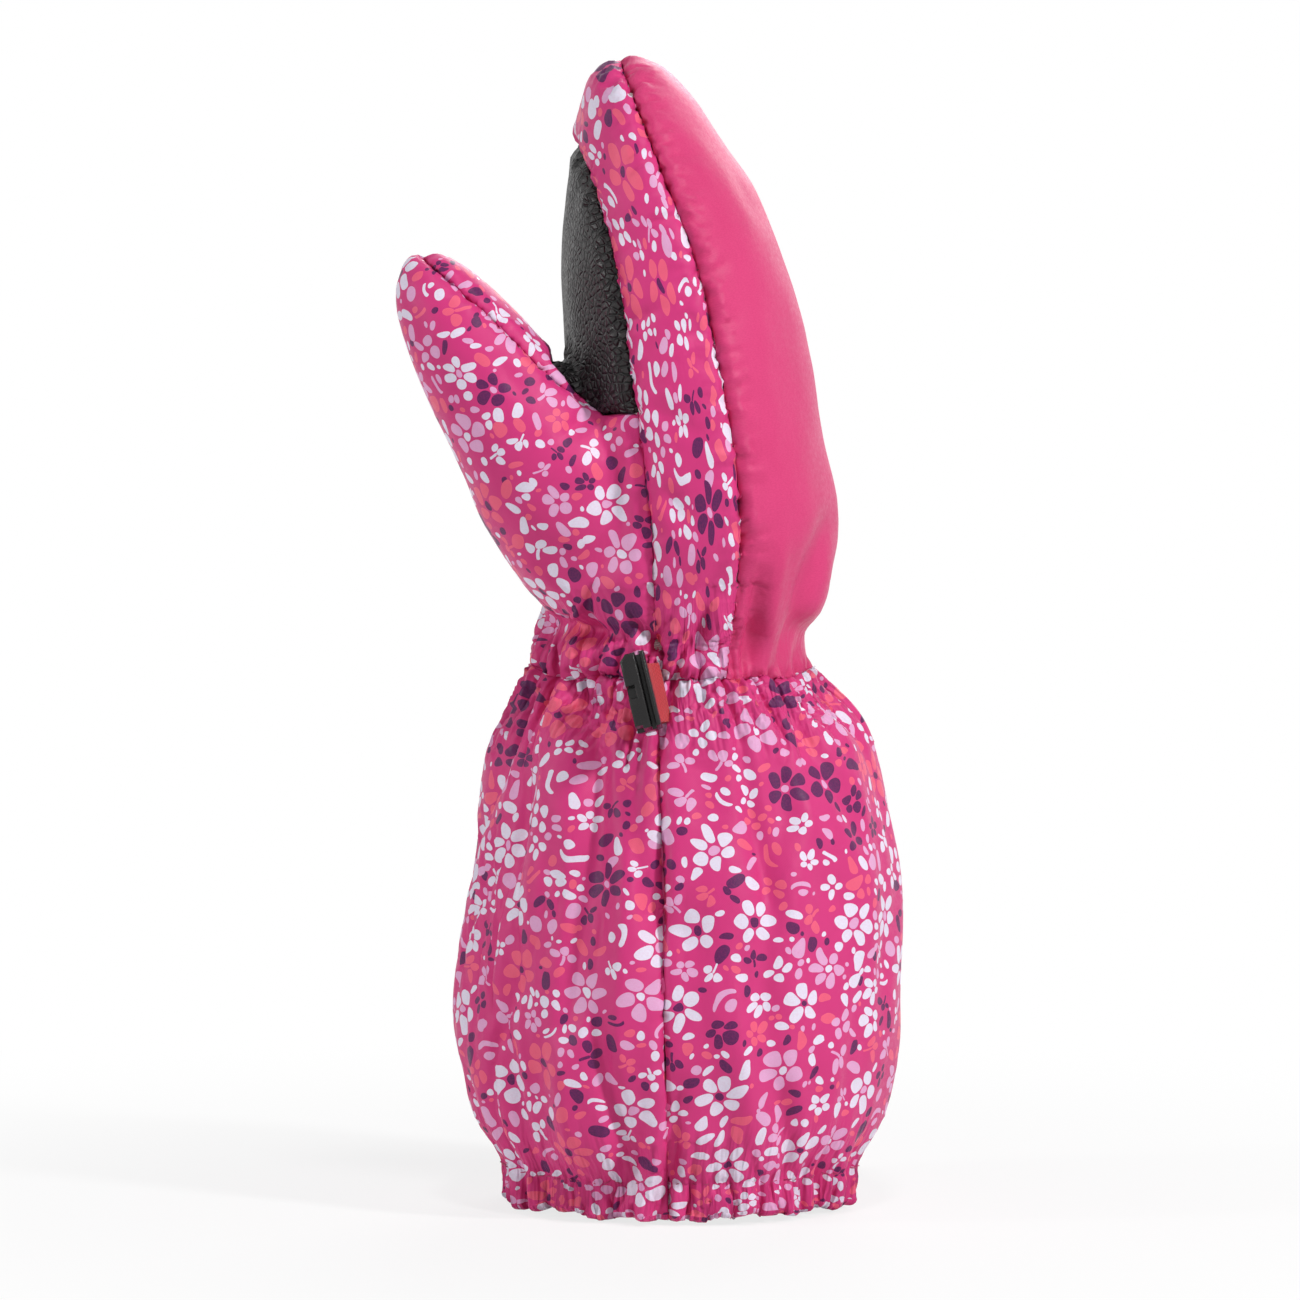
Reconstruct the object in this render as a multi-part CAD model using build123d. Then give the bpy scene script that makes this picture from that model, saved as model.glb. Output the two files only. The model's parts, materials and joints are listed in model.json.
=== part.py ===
"""Child's right-hand ski mitten, stuffed to its worn shape and standing on its elastic hem.

The mitten is sewn from an outer shell of fabric panels, a wadding layer, a fleece hand
lining and a thin cuff lining. Elastic gathers the wrist and the hem. A tape loop is sewn
into the side seam at the wrist and carries a hook clip that links the pair of mittens.

Frame while modelling: Z up along the fingers, the palm faces -X, the back of the hand
faces +X and the thumb side faces -Y. At the end everything is shifted so that the origin
is the middle of the footprint of the whole mitten, on the plane that the hem stands on.
All lengths are millimetres and all angles are degrees.
"""
from build123d import *
import math
import os
from collections import namedtuple

# --- Driving dimensions -----------------------------------------------------------------

# Heights above the plane that the hem stands on
HEM_HEIGHT = 10.5
WRIST_HEIGHT = 122.0

# A horizontal section of the mitten: palm and back are where the side outline lies in X,
# half_width is half of the section's size in Y.
Station = namedtuple("Station", "height palm back half_width")

# Cuff stations, heights above the hem plane
HEM_EDGE = Station(0.0, -33.9, 47.0, 38.0)
HEM_TOP = Station(HEM_HEIGHT, -34.8, 48.2, 39.0)
CUFF_STATIONS = [
    HEM_TOP,
    Station(22.0, -39.8, 52.7, 43.0),
    Station(44.0, -44.1, 56.3, 46.6),
    Station(68.0, -41.4, 55.8, 45.6),
    Station(90.0, -37.3, 52.4, 42.4),
    Station(107.0, -32.6, 47.2, 38.2),
]
WRIST = Station(WRIST_HEIGHT, -24.4, 35.4, 34.0)

# Hand stations, heights above the wrist seam
HAND_STATIONS = [
    Station(7.5, -23.2, 34.6, 33.2),
    Station(16.0, -22.4, 39.4, 36.4),
    Station(34.0, -20.2, 42.4, 41.4),
    Station(52.0, -19.2, 39.0, 42.4),
    Station(72.0, -19.6, 35.6, 41.0),
    Station(92.0, -20.6, 30.4, 38.0),
]
# The crown closes the finger end. Its stations are heights above the crown's own base.
CROWN_BASE = 108.0
CROWN_STATIONS = [
    Station(0.0, -19.6, 23.4, 34.2),
    Station(9.0, -18.0, 17.6, 30.4),
    Station(18.0, -16.6, 11.8, 24.4),
    Station(25.0, -14.4, 6.0, 16.2),
    Station(28.6, -10.6, 1.8, 8.6),
]
CROWN_TIP = Station(30.0, -6.4, -2.2, 3.0)

# Thumb: an axis that leans towards the palm from a point inside the hand
THUMB_LEAN = 33.0
THUMB_TIP_X = -52.3
THUMB_TIP_RISE = 91.7  # above the wrist seam
# Thumb stations: distance from the tip along the axis, half the size across the lean,
# half the size in Y, and where the middle lies in Y
ThumbStation = namedtuple("ThumbStation", "distance half_thickness half_depth middle_y")
THUMB_STATIONS = [
    ThumbStation(88.0, 16.0, 14.0, -11.0),
    ThumbStation(75.0, 19.4, 18.4, -15.0),
    ThumbStation(60.0, 19.0, 19.4, -18.0),
    ThumbStation(46.0, 16.8, 18.2, -19.4),
    ThumbStation(30.0, 14.4, 16.4, -20.4),
]
THUMB_CROWN_STATIONS = [
    ThumbStation(16.0, 11.7, 13.6, -21.0),
    ThumbStation(9.0, 9.6, 11.0, -21.0),
    ThumbStation(3.4, 6.4, 7.2, -21.0),
    ThumbStation(0.0, 2.0, 2.2, -21.0),
]

# Layer thicknesses, outside to inside, and the slack between sewn layers
SHELL = 0.8
WADDING = 3.5
FLEECE = 1.6
CUFF_SHELL = 1.0
CUFF_LINING = 0.8
LAYER_GAP = 0.3
SEAM_GAP = 0.3

# Seams, drawn on the side view and carried straight through in Y. Each starts with points
# (x, height above the wrist seam) and ends with points (x, height above the crown's base).
PALM_SEAM_SIDE = [(1.6, -2.0), (-0.7, 34.0), (-4.3, 60.0), (-7.5, 86.0)]
PALM_SEAM_CROWN = [(-13.3, 0.6), (-22.0, 19.0)]
BACK_SEAM_SIDE = [(16.0, -2.0), (20.4, 34.0), (13.6, 81.5), (8.8, 98.5)]
BACK_SEAM_CROWN = [(2.0, 7.4), (-8.6, 34.0)]
CUFF_SEAM_TOP_X = 1.6
CUFF_SEAM_BOTTOM_X = 3.9

# The printed thumb and heel piece meets the palm leather at the web of the thumb, and the
# thumb's inner piece along its seam: points (distance from the tip, distance across the lean)
WEB = (34.2, 14.6)
CROTCH = (48.8, 17.0)
THUMB_SEAM = [(-3.0, 2.3), (14.2, 7.8), (29.2, 11.2), (40.6, 13.9), (48.4, 17.8)]
HEEL_SEAM_Y = -3.0
HEEL_SEAM_LEAN = 10.0
LEATHER_RISE = 28.0  # bottom edge of the leather above the wrist seam

# Elastics, and the turned-up hem that holds one of them
WRIST_ELASTIC_WIDTH = 7.0
WRIST_ELASTIC_THICKNESS = 1.5
WRIST_ELASTIC_RISE = 1.8
HEM_ELASTIC_WIDTH = 7.0
HEM_ELASTIC_THICKNESS = 1.2
HEM_TURN_HEIGHT = 14.0

# Tape loop, folded over the clip's bar with both ends sewn into the side seam
LOOP_TOP_X = 0.6
LOOP_TOP_RISE = 4.0  # above the wrist seam
LOOP_BOTTOM_X = 3.4
LOOP_BOTTOM_DROP = 9.2  # below the wrist seam
LOOP_TOP_STANDOFF = 1.4
TAPE_WIDTH = 13.5
TAPE_THICKNESS = 0.9
LOOP_LENGTH = 6.4
LOOP_ROOT_RADIUS = 1.0
LOOP_LEAN = 35.0

# Hook clip, one moulding: a bar for the tape, then a jaw and a thin lip with a throat between
BAR_RADIUS = 1.1
BAR_CLEARANCE = 0.35
TAPE_SIDE_CLEARANCE = 0.3
CLIP_CHEEK = 1.45
CLIP_WINDOW = 2.6
CLIP_BODY = 9.8
CLIP_JAW = 3.6
CLIP_THROAT = 1.0
CLIP_THROAT_DEPTH = 7.6
CLIP_LIP = 1.1
CLIP_NOTCH_WIDTH = 2.8
CLIP_NOTCH_DEPTH = 2.0
CLIP_CORNER = 1.5
CLIP_STEP_WIDTH = 1.7
CLIP_STEP_HEIGHT = 0.8
CLIP_EDGE = 0.35

# --- Shapes of the nested layers --------------------------------------------------------

REACH = 90.0  # half the size of the cutting tools in Y, past every part of the mitten


def oval(station, height, inset, share_x=None, share_y=None):
    """One horizontal section, drawn in by inset, or shrunk by shares where the crown closes."""
    half_x = (station.back - station.palm) / 2
    middle = (station.back + station.palm) / 2
    radius_x = half_x * share_x if share_x else half_x - inset
    radius_y = station.half_width * share_y if share_y else station.half_width - inset
    return Plane((middle, 0, height)) * Ellipse(radius_x, radius_y)


def hand_form(inset):
    """The hand without its thumb as a closed solid, drawn in by inset all over."""
    sections = [oval(WRIST, WRIST_HEIGHT, inset)]
    for station in HAND_STATIONS:
        sections.append(oval(station, WRIST_HEIGHT + station.height, inset))
    base = CROWN_STATIONS[0]
    share_x = 1 - inset / ((base.back - base.palm) / 2)
    share_y = 1 - inset / base.half_width
    share_z = 1 - inset / CROWN_TIP.height
    for station in CROWN_STATIONS + [CROWN_TIP]:
        height = WRIST_HEIGHT + CROWN_BASE + station.height * share_z
        sections.append(oval(station, height, inset, share_x, share_y))
    return loft(sections)


THUMB_AXIS = Vector(-math.sin(math.radians(THUMB_LEAN)), 0, math.cos(math.radians(THUMB_LEAN)))
THUMB_ACROSS = Vector(math.cos(math.radians(THUMB_LEAN)), 0, math.sin(math.radians(THUMB_LEAN)))
THUMB_TIP = Vector(THUMB_TIP_X, 0, WRIST_HEIGHT + THUMB_TIP_RISE)


def thumb_form(inset):
    """The thumb as a closed solid from inside the hand to its tip, drawn in by inset."""
    base = THUMB_CROWN_STATIONS[0]
    sections = []
    for station in THUMB_STATIONS + THUMB_CROWN_STATIONS:
        on_crown = station.distance <= base.distance
        distance = station.distance
        thickness = station.half_thickness - inset
        depth = station.half_depth - inset
        if on_crown:
            distance = base.distance - (base.distance - station.distance) * (1 - inset / base.distance)
            thickness = station.half_thickness * (1 - inset / base.half_thickness)
            depth = station.half_depth * (1 - inset / base.half_depth)
        middle = THUMB_TIP - THUMB_AXIS * distance + Vector(0, station.middle_y, 0)
        sections.append(Plane(middle, x_dir=THUMB_ACROSS, z_dir=THUMB_AXIS) * Ellipse(thickness, depth))
    return loft(sections)


def mitten_form(inset):
    """Hand and thumb together."""
    return hand_form(inset) + thumb_form(inset)


def cuff_form(inset, neck_inset=None):
    """The cuff from its hem to the wrist seam; its neck can be drawn in by more than the rest."""
    if neck_inset is None:
        neck_inset = inset
    sections = [oval(station, station.height, inset) for station in [HEM_EDGE] + CUFF_STATIONS]
    sections.append(oval(WRIST, WRIST_HEIGHT, neck_inset))
    return loft(sections)


def slab(low, high):
    """All the space between two heights."""
    size = 2 * REACH
    return Pos(0, 0, (low + high) / 2) * Box(size, size, high - low)


def above(height):
    """All the space above a height."""
    return slab(height, height + 2 * REACH)


def below(height):
    """All the space below a height."""
    return slab(height - 2 * REACH, height)


# --- Seam tools -------------------------------------------------------------------------

SIDE = Plane.XZ  # the side view: local x is X and local y is the height


def beside(seam, direction, offset):
    """All the space on the palm side (-1) or the back side (+1) of a seam, offset away from it."""
    edge = Spline([(x + direction * offset, height) for x, height in seam])
    far_start = ((edge @ 0).X + direction * 2 * REACH, (edge @ 0).Y)
    far_end = ((edge @ 1).X + direction * 2 * REACH, (edge @ 1).Y)
    rest = Polyline(edge @ 0, far_start, far_end, edge @ 1)
    return extrude(SIDE * make_face([edge, rest]), REACH, both=True)


def hand_seam(side_points, crown_points):
    """A seam's points as (x, height)."""
    crown_height = WRIST_HEIGHT + CROWN_BASE
    side = [(x, WRIST_HEIGHT + rise) for x, rise in side_points]
    return side + [(x, crown_height + rise) for x, rise in crown_points]


def on_thumb(distance, across):
    """A point of the side view that is given along and across the thumb, as (x, height)."""
    point = THUMB_TIP - THUMB_AXIS * distance + THUMB_ACROSS * across
    return point.X, point.Z


def heel_tool(grow):
    """The space of the printed thumb and heel piece, grown past its outline by grow."""
    web_x, web_height = on_thumb(*WEB)
    crotch_x, crotch_height = on_thumb(*CROTCH)
    outline = Polyline(
        (-REACH, WRIST_HEIGHT - REACH),
        (-REACH, THUMB_TIP.Z + REACH),
        (web_x, THUMB_TIP.Z + REACH),
        (web_x, web_height),
        (crotch_x, crotch_height),
        (REACH, crotch_height),
        (REACH, WRIST_HEIGHT - REACH),
        close=True,
    )
    space = extrude(SIDE * offset(make_face(outline), grow), REACH, both=True)
    near_side = Box(4 * REACH, REACH, 4 * REACH, align=(Align.CENTER, Align.MAX, Align.CENTER))
    seam_place = Pos(0, HEEL_SEAM_Y + grow, WRIST_HEIGHT) * Rot(X=-HEEL_SEAM_LEAN)
    return space & (seam_place * near_side)


HALF_GAP = SEAM_GAP / 2
PALM_SEAM = hand_seam(PALM_SEAM_SIDE, PALM_SEAM_CROWN)
BACK_SEAM = hand_seam(BACK_SEAM_SIDE, BACK_SEAM_CROWN)
CUFF_SEAM = [(CUFF_SEAM_TOP_X, WRIST_HEIGHT + 1), (CUFF_SEAM_BOTTOM_X, -1)]


def split_off_thumb(layer):
    """Parts the palm side of a layer into its thumb piece and its palm piece."""
    return layer & heel_tool(0), layer - heel_tool(SEAM_GAP)


# --- Hand: shell, wadding and fleece ----------------------------------------------------


def hand_layer(outer_inset, thickness):
    """One closed layer of the hand and thumb, open at the wrist."""
    layer = mitten_form(outer_inset) - mitten_form(outer_inset + thickness)
    return layer & above(WRIST_HEIGHT + HALF_GAP)


def hand_shell():
    """The six outer panels of the hand."""
    shell = hand_layer(0, SHELL)
    palm_side = shell & beside(PALM_SEAM, -1, HALF_GAP)
    thumb, palm = split_off_thumb(palm_side)
    thumb_seam = [on_thumb(*point) for point in THUMB_SEAM]
    leather_bottom = WRIST_HEIGHT + LEATHER_RISE
    return {
        "back_panel": shell & beside(BACK_SEAM, 1, HALF_GAP),
        "side_gusset": shell - beside(BACK_SEAM, 1, -HALF_GAP) - beside(PALM_SEAM, -1, -HALF_GAP),
        "palm_patch": palm & above(leather_bottom + HALF_GAP),
        "palm_heel": palm & below(leather_bottom - HALF_GAP),
        "thumb_outer_panel": thumb - beside(thumb_seam, 1, -HALF_GAP),
        "thumb_inner_panel": thumb & beside(thumb_seam, 1, HALF_GAP),
    }


def inner_layer(outer_inset, thickness, bottom, name):
    """A padded or fleece layer in three pieces, from its bottom edge up."""
    layer = hand_layer(outer_inset, thickness) & above(bottom)
    thumb, palm = split_off_thumb(layer - beside(BACK_SEAM, 1, -HALF_GAP))
    back = layer & beside(BACK_SEAM, 1, HALF_GAP)
    return {"back_" + name: back, "palm_" + name: palm, "thumb_" + name: thumb}


WADDING_INSET = SHELL + LAYER_GAP
FLEECE_INSET = WADDING_INSET + WADDING + LAYER_GAP
WADDING_BOTTOM = WRIST_HEIGHT + WRIST_ELASTIC_RISE + WRIST_ELASTIC_WIDTH + LAYER_GAP


def wrist_elastic():
    """The elastic that gathers the wrist, against the shell and under the wadding's edge."""
    bottom = WRIST_HEIGHT + WRIST_ELASTIC_RISE
    ring = hand_form(WADDING_INSET) - hand_form(WADDING_INSET + WRIST_ELASTIC_THICKNESS)
    return ring & slab(bottom, bottom + WRIST_ELASTIC_WIDTH)


# --- Cuff: shell with its turned-up hem, elastic and lining -------------------------------

POCKET_INSET = CUFF_SHELL + LAYER_GAP
HEM_TURN_INSET = POCKET_INSET + max(HEM_ELASTIC_THICKNESS, CUFF_LINING) + LAYER_GAP


def cuff_shell():
    """The two cuff panels, each with its part of the hem turned up inside."""
    outer = cuff_form(0)
    wall = (outer - cuff_form(CUFF_SHELL)) & below(WRIST_HEIGHT - HALF_GAP)
    hem = (outer - cuff_form(HEM_TURN_INSET + CUFF_SHELL)) & below(HEM_TURN_HEIGHT)
    pocket = (cuff_form(CUFF_SHELL) - cuff_form(HEM_TURN_INSET)) & above(CUFF_SHELL)
    shell = wall + (hem - pocket)
    return {
        "cuff_palm_panel": shell & beside(CUFF_SEAM, -1, HALF_GAP),
        "cuff_back_panel": shell & beside(CUFF_SEAM, 1, HALF_GAP),
    }


def hem_elastic():
    """The elastic ring that lies in the hem."""
    bottom = CUFF_SHELL + LAYER_GAP
    ring = cuff_form(POCKET_INSET) - cuff_form(POCKET_INSET + HEM_ELASTIC_THICKNESS)
    return ring & slab(bottom, bottom + HEM_ELASTIC_WIDTH)


def cuff_lining():
    """The lining, from inside the hem up to the edge of the fleece."""
    outer = cuff_form(POCKET_INSET, FLEECE_INSET)
    inner = cuff_form(POCKET_INSET + CUFF_LINING, FLEECE_INSET + CUFF_LINING)
    return (outer - inner) & slab(CUFF_SHELL + HEM_ELASTIC_WIDTH + 2 * LAYER_GAP, WRIST_HEIGHT - HALF_GAP)


# --- Tape loop and hook clip ------------------------------------------------------------


def root_point(form, x, height, standoff):
    """A point of the loop's root line, off the near side of a form by the layer gap and standoff."""
    hits = form.find_intersection_points(Axis((x, -REACH, height), (0, 1, 0)))
    point, normal = min(hits, key=lambda hit: hit[0].Y)
    if normal.Y > 0:
        normal = normal * -1
    return point + normal * (LOOP_ROOT_RADIUS + LAYER_GAP + standoff)


ROOT_TOP = root_point(hand_form(0), LOOP_TOP_X, WRIST_HEIGHT + LOOP_TOP_RISE, LOOP_TOP_STANDOFF)
ROOT_BOTTOM = root_point(cuff_form(0), LOOP_BOTTOM_X, WRIST_HEIGHT - LOOP_BOTTOM_DROP, 0)
ROOT_MIDDLE = (ROOT_TOP + ROOT_BOTTOM) / 2
SEAM_AXIS = (ROOT_TOP - ROOT_BOTTOM).normalized()
STRAIGHT_OUT = (Vector(0, -1, 0) - SEAM_AXIS * Vector(0, -1, 0).dot(SEAM_AXIS)).normalized()
LOOP_DIRECTION = STRAIGHT_OUT.rotate(Axis((0, 0, 0), SEAM_AXIS), -LOOP_LEAN)
LOOP_PLANE = Plane(ROOT_MIDDLE, x_dir=LOOP_DIRECTION, z_dir=SEAM_AXIS)
BAR_CENTER = LOOP_PLANE.from_local_coords(Vector(LOOP_LENGTH, 0, 0))
CLIP_PLANE = Plane(BAR_CENTER, x_dir=STRAIGHT_OUT, z_dir=SEAM_AXIS)


def tapered_eye(root_radius, bar_radius):
    """The outline of a loop that narrows from round the bar to its root."""
    circles = Circle(root_radius).edges() + (Pos(LOOP_LENGTH, 0) * Circle(bar_radius)).edges()
    return make_face(make_hull(circles))


def tape_loop():
    """The folded tape, seated round the clip's bar."""
    bore = BAR_RADIUS + BAR_CLEARANCE
    outer = tapered_eye(LOOP_ROOT_RADIUS, bore + TAPE_THICKNESS)
    inner = tapered_eye(LOOP_ROOT_RADIUS - TAPE_THICKNESS, bore)
    return LOOP_PLANE * extrude(outer - inner, TAPE_WIDTH / 2, both=True)


def clip():
    """The hook clip, with its bar in the tape loop and its throat open away from the mitten."""
    width = TAPE_WIDTH + 2 * (TAPE_SIDE_CLEARANCE + CLIP_CHEEK)
    thickness = CLIP_JAW + CLIP_THROAT + CLIP_LIP
    body_start = BAR_RADIUS + CLIP_WINDOW
    front = body_start + CLIP_BODY
    right = thickness / 2
    body = Pos(body_start, 0) * Rectangle(CLIP_BODY, thickness, align=(Align.MIN, Align.CENTER))
    outline = make_face(make_hull(body.edges() + Circle(BAR_RADIUS + CLIP_EDGE).edges()))
    solid = extrude(outline, width / 2, both=True)

    inside = TAPE_WIDTH / 2 + TAPE_SIDE_CLEARANCE
    window = Box(2 * body_start, 2 * thickness, 2 * inside)
    bar = Cylinder(BAR_RADIUS, 2 * inside)
    throat_y = right - CLIP_LIP - CLIP_THROAT / 2
    throat = Pos(front, throat_y, 0) * Box(2 * CLIP_THROAT_DEPTH, CLIP_THROAT, 2 * width)
    notch = Pos(front, -right, 0) * Box(2 * CLIP_THROAT_DEPTH, 2 * CLIP_NOTCH_DEPTH, CLIP_NOTCH_WIDTH)
    step = Pos(front, -right, -width / 2) * Box(2 * CLIP_BODY, 2 * CLIP_STEP_WIDTH, 2 * CLIP_STEP_HEIGHT)
    corner_side = CLIP_CORNER * math.sqrt(2)
    corner = Pos(0, -right, width / 2) * Rot(X=45) * Box(4 * front, corner_side, corner_side)
    solid = solid - (window - bar) - throat - notch - step - corner
    front_edges = solid.faces().sort_by(Axis.X)[-2:].edges()
    return CLIP_PLANE * chamfer(front_edges, CLIP_EDGE)


# --- Assembly ---------------------------------------------------------------------------

nodes = {}
nodes.update(hand_shell())
nodes.update(inner_layer(WADDING_INSET, WADDING, WADDING_BOTTOM, "wadding"))
nodes.update(inner_layer(FLEECE_INSET, FLEECE, WRIST_HEIGHT, "lining"))
nodes["wrist_elastic"] = wrist_elastic()
nodes.update(cuff_shell())
nodes["hem_elastic"] = hem_elastic()
nodes["cuff_lining"] = cuff_lining()
nodes["tape_loop"] = tape_loop()
nodes["clip"] = clip()

footprint = Compound(children=[Compound(node.solids()) for node in nodes.values()]).bounding_box()
SHIFT = Vector(-footprint.center().X, -footprint.center().Y, -footprint.min.Z)

os.makedirs("parts", exist_ok=True)
for name, node in nodes.items():
    export_step(Pos(SHIFT) * Compound(node.solids()), "parts/" + name + ".step")

print("loop hinge", ROOT_MIDDLE + SHIFT, "axis", SEAM_AXIS)
print("clip hinge", BAR_CENTER + SHIFT, "axis", SEAM_AXIS)
print("size", footprint.size)
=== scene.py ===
"""Looks for a padded ski mitten: printed shell, gathered wrist and hem, leather palm, tape loop and clip.

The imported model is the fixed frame. Every soft piece is rebuilt here as cloth that follows the
frame's forms, and rides on the body its solid belongs to. Lengths are millimetres until a mesh
is made, and metres in Blender.
"""

import json
import logging
import math
from dataclasses import dataclass, field
from enum import Enum
from functools import partial
from itertools import product
from typing import Callable, Dict, List, Optional, Sequence, Tuple

import bmesh
import bpy
import numpy as np
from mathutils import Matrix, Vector
from mathutils.bvhtree import BVHTree
from mathutils.kdtree import KDTree

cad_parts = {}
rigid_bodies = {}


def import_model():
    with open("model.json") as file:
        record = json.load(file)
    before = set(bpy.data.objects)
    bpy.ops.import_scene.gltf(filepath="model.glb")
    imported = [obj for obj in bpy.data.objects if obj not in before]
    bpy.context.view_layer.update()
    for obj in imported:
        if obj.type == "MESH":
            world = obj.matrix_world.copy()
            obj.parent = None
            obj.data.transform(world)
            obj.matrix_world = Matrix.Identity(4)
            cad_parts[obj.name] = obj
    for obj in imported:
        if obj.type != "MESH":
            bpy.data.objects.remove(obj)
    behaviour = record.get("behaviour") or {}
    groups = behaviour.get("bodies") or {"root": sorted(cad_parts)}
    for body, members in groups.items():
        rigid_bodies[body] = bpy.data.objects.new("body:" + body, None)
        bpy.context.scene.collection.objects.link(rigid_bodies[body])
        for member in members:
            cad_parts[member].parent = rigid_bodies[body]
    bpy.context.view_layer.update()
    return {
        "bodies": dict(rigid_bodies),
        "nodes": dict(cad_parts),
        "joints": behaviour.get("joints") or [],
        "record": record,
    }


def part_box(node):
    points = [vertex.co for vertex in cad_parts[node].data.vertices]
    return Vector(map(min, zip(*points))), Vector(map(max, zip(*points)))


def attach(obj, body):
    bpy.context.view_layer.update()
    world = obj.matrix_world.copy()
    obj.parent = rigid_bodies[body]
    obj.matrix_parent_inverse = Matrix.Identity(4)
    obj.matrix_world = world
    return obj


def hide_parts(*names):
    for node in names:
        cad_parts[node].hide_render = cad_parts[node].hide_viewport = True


LOG = logging.getLogger("ski_mitten")
MM = 0.001
FABRIC_UNIT = 100.0  # millimetres of cloth in one unit of the fabric map
OFF_SEAM = 50.0  # a seam field's value where the seam doesn't run
ON_LINE = 0.01  # millimetres within which a point counts as on a line

Array = np.ndarray
Field = Callable[[Array], Array]
Point = Tuple[float, float, float]
Curve = Sequence[Tuple[float, float]]
Colour = Tuple[int, int, int]
Shares = Sequence[Tuple[float, Colour]]
Section = Tuple[float, float, float, float]
Piece = bpy.types.Object
Material = bpy.types.Material
Socket = bpy.types.NodeSocket


# --- Small geometry tools ---


def smoothstep(low: float, high: float, value: Array) -> Array:
    """Rises softly from 0 at low to 1 at high.

    Args:
        low: Where the rise starts.
        high: Where it ends.
        value: Values to map.

    Returns:
        An array of the same shape, from 0 to 1.
    """
    t = np.clip((value - low) / (high - low), 0.0, 1.0)
    return t * t * (3.0 - 2.0 * t)


def steady_curve(knots: Sequence[float], values: Sequence[float], at: Array) -> Array:
    """A smooth curve through points that never overshoots them.

    Args:
        knots: Rising positions.
        values: The value at each position.
        at: Positions to read; outside the knots the end value holds.

    Returns:
        The curve's value at each position.
    """
    x = np.asarray(knots, float)
    y = np.asarray(values, float)
    at = np.clip(np.asarray(at, float), x[0], x[-1])
    step = np.diff(x)
    rise = np.diff(y) / step
    slope = np.zeros_like(y)
    slope[0], slope[-1] = rise[0], rise[-1]
    same_way = rise[:-1] * rise[1:] > 0
    before = 2 * step[1:] + step[:-1]
    after = step[1:] + 2 * step[:-1]
    with np.errstate(divide="ignore", invalid="ignore"):
        mean = (before + after) / (before / rise[:-1] + after / rise[1:])
    slope[1:-1] = np.where(same_way, mean, 0.0)
    i = np.clip(np.searchsorted(x, at) - 1, 0, len(step) - 1)
    t = (at - x[i]) / step[i]
    return (
        (1 + 2 * t) * (1 - t) ** 2 * y[i]
        + t * (1 - t) ** 2 * step[i] * slope[i]
        + t * t * (3 - 2 * t) * y[i + 1]
        + t * t * (t - 1) * step[i] * slope[i + 1]
    )


def bell(away: Array, width: Array | float) -> Array:
    """1 where a distance is 0, falling off softly over a width."""
    return np.exp(-((away / width) ** 2))


def run_along(points: Array) -> Array:
    """The distance along a row of points, from 0 at the first."""
    return np.concatenate([[0], np.cumsum(np.linalg.norm(np.diff(points, axis=0), axis=1))])


def level_way(turn: Array) -> Array:
    """The level direction at each turn round the mitten."""
    return np.stack([np.cos(turn), np.sin(turn), np.zeros(len(turn))], axis=1)


def read_curve(curve: Curve, at: Array) -> Array:
    """A smooth curve through (position, value) pairs, read at positions."""
    return steady_curve([p[0] for p in curve], [p[1] for p in curve], at)


def read_sections(sections: Sequence[Section], at: Array) -> List[Array]:
    """The three sizes of a row of sections, read at heights or distances.

    Args:
        sections: A position and three sizes each.
        at: Where to read them.

    Returns:
        The three sizes at each place.
    """
    positions, *sizes = zip(*sections)
    return [steady_curve(positions, size, at) for size in sizes]


def neighbour_sum(points: Array, a: Array, b: Array) -> Array:
    """The sum of each point's neighbours, where a and b are the two ends of every edge."""
    total = np.empty_like(points)
    for axis in range(points.shape[1]):
        total[:, axis] = np.bincount(a, points[b, axis], len(points))
        total[:, axis] += np.bincount(b, points[a, axis], len(points))
    return total


def scatter(*whole: Array) -> Array:
    """A repeatable scatter of values from 0 to 1 for whole-number keys.

    Args:
        whole: Arrays of whole numbers of one shape.

    Returns:
        One value from 0 to 1 for each set of keys.
    """
    total = np.zeros(np.shape(whole[0]), float)
    for number, factor in zip(whole, (127.1, 311.7, 74.7, 211.3)):
        total = total + np.asarray(number, float) * factor
    return np.modf(np.abs(np.sin(total) * 43758.5453))[0]


def cloud(points: Array, size: float, seed: int) -> Array:
    """Smooth random values through space, from -1 to 1.

    Args:
        points: (n, 3) positions in millimetres.
        size: Distance over which the values change.
        seed: Picks another pattern.

    Returns:
        n values.
    """
    p = np.asarray(points, float) / size + 100.0
    low = np.floor(p)
    t = p - low
    t = t * t * (3 - 2 * t)
    total = np.zeros(len(p))
    for corner in range(8):
        offset = np.array([corner & 1, corner >> 1 & 1, corner >> 2 & 1])
        weight = np.prod(np.where(offset == 1, t, 1 - t), axis=1)
        key = low + offset
        total += weight * scatter(key[:, 0], key[:, 1], key[:, 2], np.full(len(p), seed))
    return total * 2 - 1


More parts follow.
